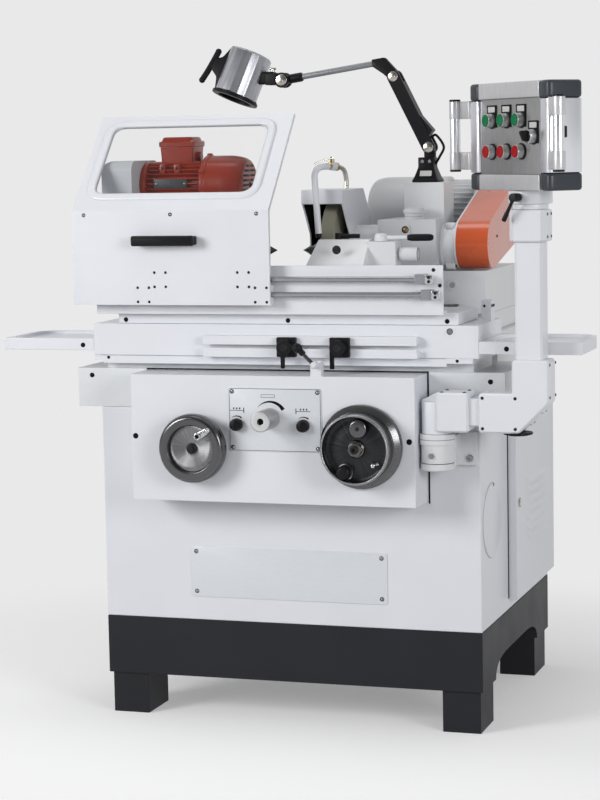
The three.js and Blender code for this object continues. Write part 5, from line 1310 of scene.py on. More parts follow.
@dataclass
class SplashGuard:
    """The guard panel, its rods, and the sliding door with its window and handle."""

    face: float = -80.0
    fold: float = 1178.0
    slope: Pair = (200.0, 213.0)
    bearings: Sequence[Pair] = ((-265, 1023), (-67, 1023), (-306, 989), (-26, 989))
    rod_ends: Sequence[Pair] = ((348, 1023), (362, 989))

    def build(self) -> None:
        """Dresses the sheet work and adds the bead, handle, screws and rod clamps."""
        dress("guard_panel", WHITE, 1.2)
        dress("upper_guard_rod", ROD_STEEL, 0.8)
        dress("lower_guard_rod", ROD_STEEL, 0.8)
        dress("guard_door", WHITE, 2.4, 4)
        dress("door_window", GLASS, 0.4)
        self.handle()
        self.bead()
        self.screws()
        self.clamps()

    def slant(self) -> Plane:
        """The window panel's outer face, drawn as (x, distance up the slope)."""
        y, z = unit(self.slope)
        return Plane((0, self.face, self.fold), RIGHTWARD, (0, float(y), float(z)))

    def handle(self) -> None:
        """Moulds the pull: a hollow-fronted bar whose section is carried along it, on two feet."""
        outer = slab(
            box_line((-322, -174), (1099.5, 1122.5), 5, 5), front(0), 96, 112.0, 4.5, True, 4
        )
        feet = [
            slab(box_line(x, (1101, 1121), 4), front(0), 80.3, 100, 1.0)
            for x in ((-321, -300), (-196, -175))
        ]
        lip = slab(box_line((-319, -177), (1116.5, 1121.5), 2), front(0), 106, 112.3, 1.6)
        make("door_pull", [outer, lip, *feet], PLASTIC, "guard_door", ["door_handle"])

    def bead(self) -> None:
        """Runs the rounded bead round the window: ring k lies inset by d_k at height h_k."""
        outer = box_line((-455, -37), (32, 277), 48, 10)
        depth = 19.0
        turn = np.linspace(0, math.pi, 11)
        rings = [(0.0, 0.2)]
        rings += [(depth * (1 - math.cos(t)) / 2, 0.4 + 5.0 * math.sin(t) ** 0.7) for t in turn]
        rings += [(depth, 0.2), (depth, -3.6), (depth - 2.0, -3.6), (depth - 2.0, 0.1)]
        plane = self.slant()
        bead = grid(np.stack([plane.lift(inset(outer, d), h) for d, h in rings]), wrap_rows=True)
        make("window_bead", [bead], WHITE, "guard_door")
        inner = [(depth, 0.6), (depth + 1.4, 0.4), (depth + 1.4, -3.2), (depth, -3.2)]
        line = grid(np.stack([plane.lift(inset(outer, d), h) for d, h in inner]), wrap_rows=True)
        make("window_seal", [line], GREY, "guard_door")

    def screws(self) -> None:
        """Sets the door's screws: four round each rod bearing and three under the fold."""
        heads = []
        for x, z in self.bearings:
            heads += [
                dome_screw((x + 13.5 * i, self.face, z + 16 * k), FORWARD, 3.2)
                for i in (-1, 1) for k in (-1, 1)
            ]
        make("guard_screws", heads, OXIDE, "guard_door")
        places = [(x, self.face, 1169) for x in (-447, -237, -33)]
        make("fold_screws", [dome_screw(p, FORWARD, 3.2) for p in places], GROUND, "guard_door")
        rings = [washer((x, y + 0.1, z), FORWARD, 3.1, 4.4, 0.5) for x, y, z in places]
        make("fold_screw_rings", rings, INK, "guard_door")

    def clamps(self) -> None:
        """Fits a bright clamp with its two screws at the right end of each rod."""
        blocks, heads = [], []
        for x, z in self.rod_ends:
            blocks.append(
                slab(box_line((x + 1, x + 19), (z - 10, z + 10), 3), front(0), 72.1, 79.5, 1.4)
            )
            heads += [socket_screw((x + 10, -79.3, z + d), FORWARD, 3.4, 1.8) for d in (-4.5, 4.5)]
            heads.append(dome_screw((x + 12, -45.2, z + 19), FORWARD, 4.2))
        make("rod_clamps", blocks, CHROME, "swivel_table")
        make("rod_clamp_screws", heads, OXIDE, "swivel_table")


@dataclass
class Workhead:
    """The workhead with its red motor and belt cover."""

    axis_y: float = 130.0
    axis_z: float = 1229.0

    def build(self) -> None:
        """Dresses the body and builds the motor."""
        dress("workhead_body", CASTING, 4.0)
        dress("workhead_belt_cover", PALE_GREY, 2.0)
        dress("workhead_spindle", DARK_STEEL, 1.2)
        dress("workhead_motor_pulley", IRON, 0.8)
        dress("workhead_belt", RUBBER, 0.6)
        sheet = slab(box_line((30, 192), (1164, 1286), 22), right(-373.4), 0, 1.5, 0.3)
        make("belt_cover_back", [sheet], PALE_GREY, "swivel_table")
        self.motor()
        self.terminal_box()
        self.grille()

    def along(self, profile: Sequence, sides: int = 96, ring: bool = False) -> Shell:
        """Turns a profile of (radius, x) round the motor's axis."""
        return revolved(profile, (0, self.axis_y, self.axis_z), RIGHTWARD, sides, ring)

    def around(self, radius: float, degrees: float) -> Pair:
        """Returns the (y, z) at a radius and an angle up from the front."""
        t = math.radians(degrees)
        return self.axis_y - radius * math.cos(t), self.axis_z + radius * math.sin(t)

    def ribbed(self, x: Pair, root: float, tip: float, ribs: int) -> Shell:
        """Makes the ribbed barrel.

        Args:
            x: Where it starts and ends.
            root: Radius between the ribs.
            tip: Radius on the ribs.
            ribs: How many there are.

        Returns:
            The closed surface.
        """
        t, radius = ribs_round(ribs, root, tip)
        ends = (0 * t + 10, x[0]), (0 * t + 10, x[1])
        rows = [
            ends[0], (radius - 2, x[0]), (radius, x[0] + 2), (radius, x[1] - 2), (radius - 2, x[1]),
            ends[1],
        ]
        return spoked(rows, (0, self.axis_y, self.axis_z), RIGHTWARD, t)

    def motor(self) -> None:
        """Builds the motor: flange, ribbed barrel, stepped fan cowl, foot and lugs."""
        flange = eased(
            [(8.6, -371), (57, -371), (57, -361), (53, -358), (48, -356), (8.6, -356)], 1.2
        )
        cowl = eased(
            [
                (8, -222), (68, -222), (70.3, -219), (70.3, -210), (68.4, -208), (68.4, -156),
                (63, -130), (56, -119.2), (8, -119.2),
            ],
            [0, 1, 1, 1, 1, 14, 6, 5, 0],
            steps=6,
        )
        shells = [
            self.along(flange, 96, ring=True),
            self.ribbed((-357, -221), 46.5, 56.6, 30),
            self.along(cowl, 96, ring=True),
            block((-321, -223), (80, 178), (1150.4, 1202), 3),
        ]
        shells += [block((x - 7, x + 7), (84, 99), (1258, 1280), 2.5) for x in (-318, -282)]
        for degrees in (88, 28, -30):
            y, z = self.around(69.5, degrees)
            shells.append(bar((-221, y, z), (-209, y, z), 4.5, 1.4))
        make("motor_barrel", shells, RED, "swivel_table", ["workhead_motor"])
        holes = [dome_screw((x, 83.9, 1270), FORWARD, 3.4) for x in (-318, -282)]
        make("motor_lug_screws", holes, OXIDE, "swivel_table")
        plate = Plane((0, self.axis_y - 57, 0), RIGHTWARD, UPWARD)
        rim = box_line((-334, -254), (1224, 1246), 2)
        make("motor_plate", [slab(rim, plate, -3, 1.2, 0.4)], MOTOR_PLATE, "swivel_table")
        pins = [dome_screw((x, self.axis_y - 58, 1235), FORWARD, 2.6) for x in (-329, -259)]
        make("motor_plate_pins", pins, NICKEL, "swivel_table")

    def terminal_box(self) -> None:
        """Lofts the terminal box: a rounded rectangle that widens upwards, under a flared lid."""
        middle = (-295.0, 156.0)
        skirt = [
            (38, 35.5, 1228), (38, 35.5, 1246), (38.5, 36, 1264), (40, 37, 1298), (41.5, 38.5, 1318)
        ]
        lid = [
            (40, 37, 1318.2), (43.5, 40.5, 1319.5), (44, 41, 1329), (42, 39, 1331), (39, 36, 1331.5)
        ]
        lid += [(38, 35, 1334), (36, 33, 1340), (33, 30, 1341.8)]
        shells = []
        for rows in (skirt, lid):
            lines = [
                box_line((middle[0] - a, middle[0] + a), (middle[1] - b, middle[1] + b), 9)
                for a, b, _ in rows
            ]
            shells.append(lofted(lines, top(0), [z for *_, z in rows]))
        shells.append(bar((-262, 156, 1296), (-246, 156, 1296), 11, 2))
        make("motor_terminal_box", shells, RED, "swivel_table")
        heads = [dome_screw((x, y, 1331.5), UPWARD, 3.4) for x in (-334, -256) for y in (120, 192)]
        make("motor_box_screws", heads, NICKEL, "swivel_table")

    def grille(self) -> None:
        """Lays black level bars on the cowl's end for its air slots, painted shade in place of
        openings: half width sqrt(r^2 - d^2) at height d.
        """
        end = right(-119.3)
        slots = []
        for d in range(-44, 45, 11):
            half = math.sqrt(51**2 - d**2)
            for a, b in ((-half, -3.0), (3.0, half)):
                if b - a > 6:
                    span, rise = (self.axis_y + a, self.axis_y + b), self.axis_z + d
                    slots.append(
                        slab(box_line(span, (rise - 2.6, rise + 2.6), 2.4), end, 0, 0.45, 0.1)
                    )
        # painted shade: the black bars stand for the dark inside of the slots; no openings are cut
        make("motor_grille_painted_slots", slots, INK, "swivel_table")


@dataclass
class Tailstock:
    """The tailstock with its quill, spring lever and lock."""

    def build(self) -> None:
        """Dresses the casting and lock, and makes the quill and its lever."""
        dress("tailstock_body", CASTING, 4.0, 4)
        dress("tailstock_lock", PLASTIC, 1.0)
        self.quill()
        self.lever()
        head = [
            hexagon_head((118, 27.6, 1083), FORWARD, 8.5, 6),
            washer((118, 27.9, 1083), FORWARD, 6, 10, 1),
        ]
        make("tailstock_bolt", head, OXIDE, "swivel_table")
        rim = [washer((289.6, 90, 1070), RIGHTWARD, 9, 15, 1.2)]
        make("tailstock_knob_face", rim, GREY, "swivel_table")

    def quill(self) -> None:
        """Turns the quill and its dead centre, ground to sixty degrees."""
        tip = eased(
            [(0, 19), (9.2, 35), (10.5, 36), (10.5, 46), (15, 51), (15, 150), (0, 150)],
            [0, 0.4, 0.4, 0.6, 1, 0.5, 0],
            closed=False,
        )
        shell = revolved(tip, (0, 90, 1080), RIGHTWARD)
        make("quill_ground", [shell], RIM_STEEL, "tailstock_quill", ["tailstock_quill"])

    def lever(self) -> None:
        """Makes the quill's lever: domed boss, painted arm and black grip."""
        cap = eased(
            [(0, 1099.4), (15, 1099.4), (15, 1112), (11, 1117), (0, 1117)], [0, 1, 3, 3, 0],
            closed=False,
        )
        rod = eased([(0, 204), (6, 204), (4.6, 232), (5, 272), (0, 272)], 1, closed=False)
        shells = [
            revolved(cap, (204, 90, 0), UPWARD, 40), revolved(rod, (0, 90, 1107), RIGHTWARD, 24)
        ]
        make("quill_lever_arm", shells, CASTING, "tailstock_lever", ["tailstock_lever"])
        grip = eased(
            [(0, 266), (6, 266), (8, 274), (8, 290), (8, 317), (6, 325), (0, 326)],
            [0, 1, 5, 5, 6, 4, 0], closed=False
        )
        shell = revolved(grip, (0, 90, 1107), RIGHTWARD)
        make("quill_lever_grip", [shell], PLASTIC, "tailstock_lever")


@dataclass
class WheelHead:
    """The wheel head with its guard, wheel, motor, belt cover and coolant pipe."""

    wheel_y: float = 270.0
    wheel_z: float = 1080.0
    motor_y: float = 525.0
    motor_z: float = 1154.0
    filler: Pair = (240, 245)

    def build(self) -> None:
        """Dresses the castings and builds the turned parts."""
        dress("wheelhead_body", CASTING, 6.0, 4)
        dress("wheel_guard", WHITE, 2.0)
        dress("wheel_spindle", GROUND, 0.8)
        dress("wheel_motor_pulley", IRON, 0.8)
        dress("wheel_belt", RUBBER, 0.6)
        dress("wheel_belt_cover", ORANGE, 2.0)
        self.wheel()
        self.guard_lining_and_shade()
        self.oil_cap()
        self.screws()
        self.motor()
        self.pipe()
        self.tap()

    def wheel(self) -> None:
        """Turns the grinding wheel, a plain ring of bonded grit."""
        ring = eased([(38, 40), (118, 40), (118, 72), (38, 72)], 1.2)
        shell = revolved(ring, (0, self.wheel_y, self.wheel_z), RIGHTWARD, 96, ring=True)
        make("wheel_bonded", [shell], STONE, "wheel_spindle", ["grinding_wheel"])

    def guard_lining_and_shade(self) -> None:
        """Puts thin black sheets on the guard's left wall and on its back; the back one is painted
        shade inside the guard.
        """
        outline = [
            (152, 1209), (152, 1184), (207, 1113), (229, 958), (402, 958), (402, 1112), (318, 1209)
        ]
        wall = slab(np.array(outline, float), right(2.1), 0.05, 0.6, 0.1)
        rear = slab(box_line((3, 92), (958, 1110)), front(403.6), 0.1, 0.6, 0.1)
        # painted shade: the black back sheet stands for the shadow deep inside the guard, and the
        # left sheet blackens its inner wall
        make("guard_lining_and_shade", [wall, rear], INK, "wheelhead")

    def oil_cap(self) -> None:
        """Turns the filler's flanged collar and the ringed sight glass under it."""
        x, y = self.filler
        collar = eased(
            [(21.6, 1156), (25.5, 1157), (25.5, 1164), (21.6, 1165.5)], [0.2, 1.5, 1.5, 0.2]
        )
        foot = eased([(21.6, 1143.2), (24, 1143.2), (23, 1147), (21.6, 1147)], 0.5)
        shells = [revolved(p, (x, y, 0), UPWARD, 56, ring=True) for p in (collar, foot)]
        make("filler_collar", shells, CASTING, "wheelhead")
        line = box_line((21.9, 22.4), (1149, 1150))
        groove = revolved(line, (x, y, 0), UPWARD, 48, ring=True)
        make("filler_line", [groove], GREY, "wheelhead")
        place = (229, 206.8, 1120)
        make("sight_bezel", [washer(place, FORWARD, 8.4, 12.5, 3.0)], CASTING, "wheelhead")
        make("sight_ring", [washer(place, FORWARD, 6.4, 8.4, 2.0)], OXIDE, "wheelhead")
        make("sight_glass", [dome_screw((229, 205.4, 1120), FORWARD, 6.3)], BRASS, "wheelhead")

    def screws(self) -> None:
        """Sets the slide's ring bolt, the sleeve's lugs and the belt cover's screw."""
        ring = washer((333, 227.8, 992), FORWARD, 7.0, 13, 1.6)
        make("slide_bolt_ring", [ring], CASTING, "wheelhead")
        make("slide_bolt", [socket_screw((333, 227.6, 992), FORWARD, 6.4, 2.4)], GREY, "wheelhead")
        lugs, holes = [], []
        for y, z in ((246, 1126), (243, 1035), (300, 1123)):
            lugs.append(bar((316, y, z), (338, y, z), 8.5, 2))
            holes.append(socket_screw((337.8, y, z), RIGHTWARD, 4.4, 2.0))
        ribs = [washer((x, self.wheel_y, self.wheel_z), RIGHTWARD, 49, 52.5, 5) for x in (306, 334)]
        make("sleeve_lugs", [*lugs, *ribs], CASTING, "wheelhead")
        make("sleeve_screws", holes, OXIDE, "wheelhead")
        head = dome_screw((420.3, 310, 1100), RIGHTWARD, 3.6)
        make("belt_cover_screw", [head], OXIDE, "wheelhead")

    def motor(self) -> None:
        """Builds the wheel motor: domed cowl, ribbed barrel and foot."""
        cowl = eased(
            [(10, 58), (46, 58), (74, 68), (82, 94), (82, 258), (10, 258)], [0, 4, 16, 14, 1, 0],
            steps=7
        )
        t, radius = ribs_round(34, 63, 74)
        centre, axis = (0, self.motor_y, self.motor_z), RIGHTWARD
        rows = [
            (0 * t + 10, 257.0), (radius, 257.0), (radius, 328.0), (radius - 2, 330.0),
            (0 * t + 10, 330.0),
        ]
        flange = eased([(12.8, 328), (74, 328), (74, 336), (12.8, 336)], 1)
        shells = [
            revolved(cowl, centre, axis, 96, ring=True),
            spoked(rows, centre, axis, t),
            revolved(flange, centre, axis, 72, ring=True),
            block((258, 331), (451, 599), (1062.4, 1117), 3),
        ]
        make("wheel_motor_barrel", shells, MOTOR_GREY, "wheelhead", ["wheel_motor"])

    def pipe(self) -> None:
        """Bends the coolant pipe: a painted leg to the nozzle and a plated leg from the guard."""
        front_leg = [(62, 176, 1268), (47, 138, 1266), (41, 122, 1254)]
        front_leg += [(41, 119, 1234), (44, 119, 1180), (48, 119, 1116)]
        rear_leg = [(80, 236, 1216), (80, 236, 1240), (76, 222, 1262), (62, 176, 1268)]
        painted = carried(ring_line((0, 0), 7.4, 20), smoothed(front_leg, 56), RIGHTWARD)
        plated = carried(ring_line((0, 0), 5.6, 20), smoothed(rear_leg, 32), RIGHTWARD)
        make("coolant_leg", [painted], WHITE, "wheelhead", ["coolant_pipe"])
        make("coolant_riser", [plated], NICKEL, "wheelhead")
        nozzle = eased(
            [(0, 0), (6.2, 0), (7.0, 3), (7.0, 11), (0, 11)], [0, 0.5, 1, 0.5, 0], closed=False
        )
        shell = revolved(nozzle, (48, 119, 1106.3), UPWARD, 32)
        make("coolant_nozzle", [shell], PLASTIC, "wheelhead")

    def tap(self) -> None:
        """Builds the coolant tap on the bend: body, two hexagons, stem and lever."""
        run = unit((80 - 50, 236 - 146, -10))
        middle = np.array([64.0, 182.0, 1268.0])
        body = [bar(middle - run * 12, middle + run * 12, 9.6, 2.0)]
        make("tap_body", body, CASTING, "wheelhead")
        nuts = [
            hexagon_head(middle + run * 9, run, 10.5, 9),
            hexagon_head(middle - run * 9, -run, 10.0, 7),
        ]
        stem = bar(middle + (0, 0, 6), middle + (0, 0, 17), 5, 0.8)
        make("tap_nuts", [*nuts, stem], BRASS, "wheelhead")
        path = np.array(
            [
                middle + (4, 0, 17), middle + (-6, -6, 17), middle + (-26, -20, 11),
                middle + (-34, -26, 6),
            ]
        )
        lever = carried(box_line((-5, 5), (-1.4, 1.4), 1.2), smoothed(path, 14), (0.6, -0.8, 0))
        nut = hexagon_head(middle + (0, 0, 18), UPWARD, 4.6, 4)
        make("tap_lever", [lever, nut], NICKEL, "wheelhead")


@dataclass
class WorkLamp:
    """The jointed lamp on the wheel head."""

    hip: Triple = (256, 336, 1307)
    elbow: Triple = (173, 336, 1473)
    wrist: Triple = (-102, 336, 1472)
    head_top: Triple = (-184, 349, 1538)
    head_mouth: Triple = (-221, 324, 1433)

    def build(self) -> None:
        """Builds the lamp from its base to its head."""
        self.base()
        dress("lamp_lower_arm", PLASTIC, 2.5, 4)
        self.discs()
        self.upper_arm()
        self.head()
        self.cable()

    def base(self) -> None:
        """Lofts the base: a flange, a skirt that narrows upwards, and a block with two cheeks."""
        x, y = 250.0, 336.0
        rows = [
            (31, 1226.4), (31, 1231), (30, 1232.4), (27, 1238), (20, 1258), (19, 1263), (19, 1283),
            (17.5, 1284),
        ]
        lines = [box_line((x - h, x + h), (y - h, y + h), 4, 3) for h, _ in rows]
        tongue = eased(
            [(243, 1280), (269, 1280), (269, 1312), (263, 1320), (249, 1320), (243, 1312)], 7,
            steps=6,
        )
        shells = [
            lofted(lines, top(0), [z for _, z in rows]),
            slab(tongue, front(336), -7.2, 7.2, 1.0, True),
        ]
        make("lamp_foot_block", shells, PLASTIC, "lamp_foot", ["lamp_base"])
        heads = [socket_screw((x + d, y - 18.9, 1274), FORWARD, 4.0, 2.0) for d in (-8, 9)]
        make("lamp_foot_screws", heads, CHROME, "lamp_foot")
        plate = Plane((x, y - 26.6, 1238.5), RIGHTWARD, tuple(unit((0, 7, 20))))
        shell = slab(box_line((-13, 15), (2, 15), 1), plate, -0.4, 1.0, 0.2)
        make("lamp_foot_plate", [shell], IVORY, "lamp_foot")

    def disc(self, x: float, y: float, z: float, radius: float, way: int) -> Shell:
        """Turns a coned hinge disc with a raised rim and a centre boss, facing one way along Y."""
        profile = [
            (0, 0), (radius, 0), (radius, 1.4), (radius - 2, 2.2), (4.2, 3.4), (3.6, 4.4), (0, 4.6)
        ]
        return revolved(eased(profile, 0.5, closed=False), (x, y, z), (0, way, 0), 40)

    def discs(self) -> None:
        """Puts the plated discs on the hip, the elbow and the wrist."""
        x, _, z = self.hip
        hips = [self.disc(x, 318.8, z, 12.5, -1), self.disc(x, 353.2, z, 12.5, 1)]
        make("lamp_hip_discs", hips, NICKEL, "lamp_lower_arm")
        hinges = ((self.elbow, 12), (self.wrist, 14))
        shells = [bar((x, 318.6, z), (x, 353.4, z), 3.9) for (x, _, z), _ in hinges]
        for (x, _, z), radius in hinges:
            shells += [self.disc(x, 318.9, z, radius, -1), self.disc(x, 353.1, z, radius, 1)]
        make("lamp_hinge_discs", shells, NICKEL, "lamp_upper_arm")

    def upper_arm(self) -> None:
        """Makes the satin tube with its black elbow and black sleeve."""
        rise = np.array([132, 336, 1505.5])
        wrist = np.array(self.wrist, float)
        run = unit(rise - wrist)
        body = "lamp_upper_arm"
        make("lamp_tube", [bar(wrist + run * 20, rise, 7, 0.6)], DULL_TUBE, body, [body])
        outline = [
            (121, 1497), (147, 1479.5), (162, 1466), (173, 1460), (185, 1466), (186, 1479),
            (150, 1518), (119, 1513.5),
        ]
        elbow = slab(eased(outline, [1, 4, 5, 6, 6, 6, 4, 1]), front(336), -8.6, 8.6, 1.6, True)
        pins = [bar((x, 328.6, z), (x, 343.4, z), 13, 1) for x, _, z in (self.elbow, self.wrist)]
        sleeve = eased(
            [(0, 6), (11, 6), (11, 46), (9.4, 49), (0, 49)], [0, 2, 2, 1, 0], closed=False
        )
        shells = [elbow, *pins, revolved(sleeve, wrist, run, 32)]
        make("lamp_elbow_black", shells, PLASTIC, body)

    def head(self) -> None:
        """Makes the fluted drum, its black mouth ring, handle plate and forked neck.

        The drum's radius is 51 - 1.2 |sin(8 t)|, which leaves sixteen shallow flutes.
        """
        body = "lamp_head"
        start, end = np.array(self.head_top, float), np.array(self.head_mouth, float)
        axis = unit(end - start)
        length = float(np.linalg.norm(end - start))
        t = angles(160)
        flute = 51 - 1.2 * np.abs(np.sin(8 * t))
        rows = [
            (0 * t, 0.5), (0 * t + 43, 0.5), (flute - 3.5, 1.2), (flute - 0.6, 4), (flute, 6),
            (flute, length - 6),
        ]
        drum = spoked([*rows, (0 * t, length - 6)], start, axis, t)
        make("lamp_drum", [drum], FLUTED_SHEEN, body, [body], angle=50)
        ring = eased(
            [
                (42, length - 6), (52, length - 6), (57, length - 3), (57, length + 4),
                (42, length + 4),
            ],
            1.4,
        )
        well = [(0, length - 5.5), (44, length - 5.5), (44, length - 4.5), (0, length - 4.5)]
        spokes = np.stack([np.cos(t[::40]), np.sin(t[::40])], axis=1) @ np.stack(square_to(axis))
        lugs = [bar(p, p + axis * 9, 4, 1) for p in start + axis * (length - 6) + 53 * spokes]
        shells = [revolved(ring, start, axis, 64, ring=True), revolved(well, start, axis), *lugs]
        make("lamp_ring", shells, PLASTIC, body)
        out = unit(np.array([-1, 0, 0]) + axis[0] * axis)
        flat = Plane(tuple(start), tuple(out), tuple(axis))
        plate = [
            (44, -3), (52, -3), (66, 30), (88, 42), (92, 58), (84, 66), (64, 80), (54, 118),
            (44, 118),
        ]
        grip = np.array([(83, 21), (85, 36), (88, 55), (92, 77), (97, 98)], float)
        path = smoothed(flat.lift(grip, 0.0), 24)
        shells = [
            slab(eased(plate, 5), flat, -4.5, 4.5, 1.4, True),
            carried(ring_line((0, 0), 7.2, 16), path, flat.normal),
            ball(path[0], 7.6),
            ball(path[-1], 7.6),
        ]
        make("lamp_handle", shells, PLASTIC, body)
        self.neck(body)

    def neck(self, body: str) -> None:
        """Makes the fork between the drum and the wrist, and its wing nut.

        Args:
            body: The body that it rides on.
        """
        x, _, z = self.wrist
        cheeks = [bar((x, y, z), (x, y + 8.4, z), 18, 1.2) for y in (319.3, 344.3)]
        arms = [block((-142, -100), (y, y + 8.4), (1461, 1489), 2) for y in (319.3, 344.3)]
        root = block((-166, -122), (320, 352), (1463, 1493), 5)
        wing = [
            bar((-128, 336, 1491), (-128, 336, 1499), 4.5, 1),
            bar((-136, 336, 1500), (-120, 336, 1500), 3.2, 1.2),
        ]
        make("lamp_neck", [*cheeks, *arms, root], PLASTIC, body)
        make("lamp_wing_nut", wing, NICKEL, body)

    def cable(self) -> None:
        """Loops the short cable past the lower hinge; it bends between the base and the arm."""
        x, y, z = self.hip
        rise = unit(np.array(self.elbow) - np.array(self.hip))
        ax, az = float(rise[0]), float(rise[2])
        start = (x + ax * 20 + az * 15.3, z + az * 20 - ax * 15.3)
        points = [
            (start[0], y, start[1]), (start[0] + az * 12, y, start[1] - ax * 6), (289, y, 1308),
            (278.3, y, 1284), (268.6, y, 1268),
        ]
        mesh = mesh_of(
            "lamp_lead", [carried(ring_line((0, 0), 3.0, 14), smoothed(points, 40), (0, 1, 0))]
        )
        mesh.shade_smooth()
        mesh.materials.append(RUBBER.material())
        lead = placed("lamp_lead", mesh)
        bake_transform(lead)
        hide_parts("lamp_cable")


@dataclass
class Pendant:
    """The swinging control pendant on its arm."""

    column_x: float = 580.5
    arm_y: float = -65.0
    turn: float = -45.2
    forward: float = 13.0
    half_depth: float = 42.7
    start_places: Sequence[Pair] = ((-70, 1361), (-12, 1361), (46, 1361))
    stop_places: Sequence[Pair] = ((-70, 1295), (-12, 1295), (46, 1295))
    selector: Pair = (93, 1326)

    def build(self) -> None:
        """Builds the arm, the case and its controls."""
        self.arm()
        self.arm_screws()
        self.case()
        self.grips()
        self.bezels()
        self.buttons()
        self.legends()
        self.clamp()

    def plane(self) -> Plane:
        """Draws the case's middle plane.

        Returns:
            The plane, drawn as (across the face, height).
        """
        a = math.radians(self.turn)
        across = (math.cos(a), math.sin(a), 0.0)
        place = (
            self.column_x + math.sin(a) * self.forward, self.arm_y - math.cos(a) * self.forward, 0.0
        )
        return Plane(place, across, UPWARD)

    def upright(self, line: Array, z: Pair, ease: float, steps: int = 3) -> Shell:
        """Raises a level line between two heights of the case.

        Args:
            line: The closed line, as (across the face, distance in front of the middle).
            z: The two heights.
            ease: Radius of both rims.
            steps: Parts of each rim's curve.

        Returns:
            The closed surface.
        """
        p = self.plane()
        deck = Plane(p.origin, tuple(-np.array(p.across)), tuple(p.normal))
        flipped = np.stack([-line[::-1, 0], line[::-1, 1]], axis=1)
        return slab(flipped, deck, z[0], z[1], ease, both=True, steps=steps)

    def arm(self) -> None:
        """Makes the arm of chamfered blocks: head, coupling, elbow, column and neck."""
        elbow = [
            (471, 694), (559.5, 694), (625.5, 760), (625.5, 852), (544.5, 852), (544.5, 780),
            (471, 780),
        ]
        wedge = np.array([(341, 757), (378, 757), (378, 780), (341, 762)], float)
        neck = eased([(540.5, -105), (620.5, -105), (620.5, -25), (540.5, -25)], 11, steps=1)
        shells = [
            bar((370, -65, 687.4), (370, -65, 758), 34, 2),
            slab(wedge, front(0), 46, 84, 1.5, True, 1),
            block((377, 448), (-105, -35), (694, 780), 4, 1),
            block((446, 473), (-95, -35), (707, 767), 3, 1),
            slab(eased(elbow, [5, 4, 4, 5, 5, 2, 5], steps=1), front(0), 35, 105, 4, True, 1),
            block((550.5, 610.5), (-95, -35), (848, 1108), 5, 1),
            slab(neck, top(0), 1104, 1172, 3, True, 1),
        ]
        make("arm_castings", shells, WHITE, "pendant_arm", ["pendant_arm"], angle=20)
        plug = eased([(24, 0), (32, 0), (32, 5), (24, 5)], 1.5)
        gland = [revolved(plug, (551, -72, 694.5), (0, 0, -1), 40, ring=True)]
        gland.append(bar((551, -72, 694), (551, -72, 687.5), 24, 1))
        make("arm_gland", gland, PLASTIC, "pendant_arm")

    def arm_screws(self) -> None:
        """Puts the cover plate on the elbow's slant and the screws on the arm's faces."""
        body = "pendant_arm"
        slope = Plane((592.5, -65, 727), (0, 1, 0), (math.sqrt(0.5), 0, math.sqrt(0.5)))
        outline = box_line((-29, 29), (-26, 26), 9)
        make("arm_cover", [slab(outline, slope, 0.1, 2.4, 0.8)], WHITE, body)
        heads = [
            dome_screw(slope.spot(a, b, 2.2), slope.normal, 3.0)
            for a in (-21, 21) for b in (-18, 18)
        ]
        heads += [dome_screw((625.7, y, z), RIGHTWARD, 3.4) for y in (-95, -35) for z in (772, 842)]
        heads += [
            dome_screw((620.7, y, z), RIGHTWARD, 3.4) for y in (-84, -46) for z in (1114, 1162)
        ]
        heads += [dome_screw((x, -105.2, z), FORWARD, 3.6) for x in (480, 552) for z in (704, 770)]
        heads += [dome_screw((x, y, 780.2), UPWARD, 4.2) for x in (388, 438) for y in (-94, -47)]
        make("arm_screws", heads, OXIDE, body)

    def case(self) -> None:
        """Builds the case: dark core, brushed faces, bright round columns and dark corner caps."""
        d = self.half_depth
        core = self.upright(box_line((-150, 150), (-38, 35.5), 4), (1216, 1438), 2)
        make("case_core", [core], CAP_GREY, "pendant", ["pendant_case"])
        swivel = [
            bar((580.5, -65, 1172.4), (580.5, -65, 1184.5), 38, 2),
            bar((580.5, -65, 1184), (580.5, -65, 1214), 47, 3),
        ]
        make("case_swivel", swivel, WHITE, "pendant")
        face = self.plane()
        behind = Plane(face.origin, tuple(-np.array(face.across)), UPWARD)
        panel = slab(box_line((-117, 119), (1247.5, 1405.5), 1), face, 35.4, 37.4, 0.4)
        rear = slab(box_line((-117, 115), (1222, 1432), 2), behind, 37.9, 39.5, 0.4)
        make("case_panel", [panel, rear], STAINLESS, "pendant")
        bars = [
            self.upright(box_line((-118, 120), (-d, d), 2.5), z, 2)
            for z in ((1406.2, 1440.4), (1213.4, 1246.8))
        ]
        make("case_bars", bars, BAR_STEEL, "pendant")
        columns, caps = [], []
        for a in ((-156.6, -119.2), (121.2, 156.6)):
            columns.append(self.upright(box_line(a, (-d, d), 10, 7), (1250.6, 1402.6), 0.8))
            for z in ((1213, 1249.6), (1403.6, 1440.5)):
                caps.append(
                    self.upright(
                        box_line((a[0] - 0.8, a[1] + 0.8), (-d - 0.5, d + 0.5), 13, 8), z, 7, 6
                    )
                )
        make("case_columns", columns, ALUMINIUM, "pendant", angle=45)
        make("case_caps", caps, CAP_GREY, "pendant", angle=45)

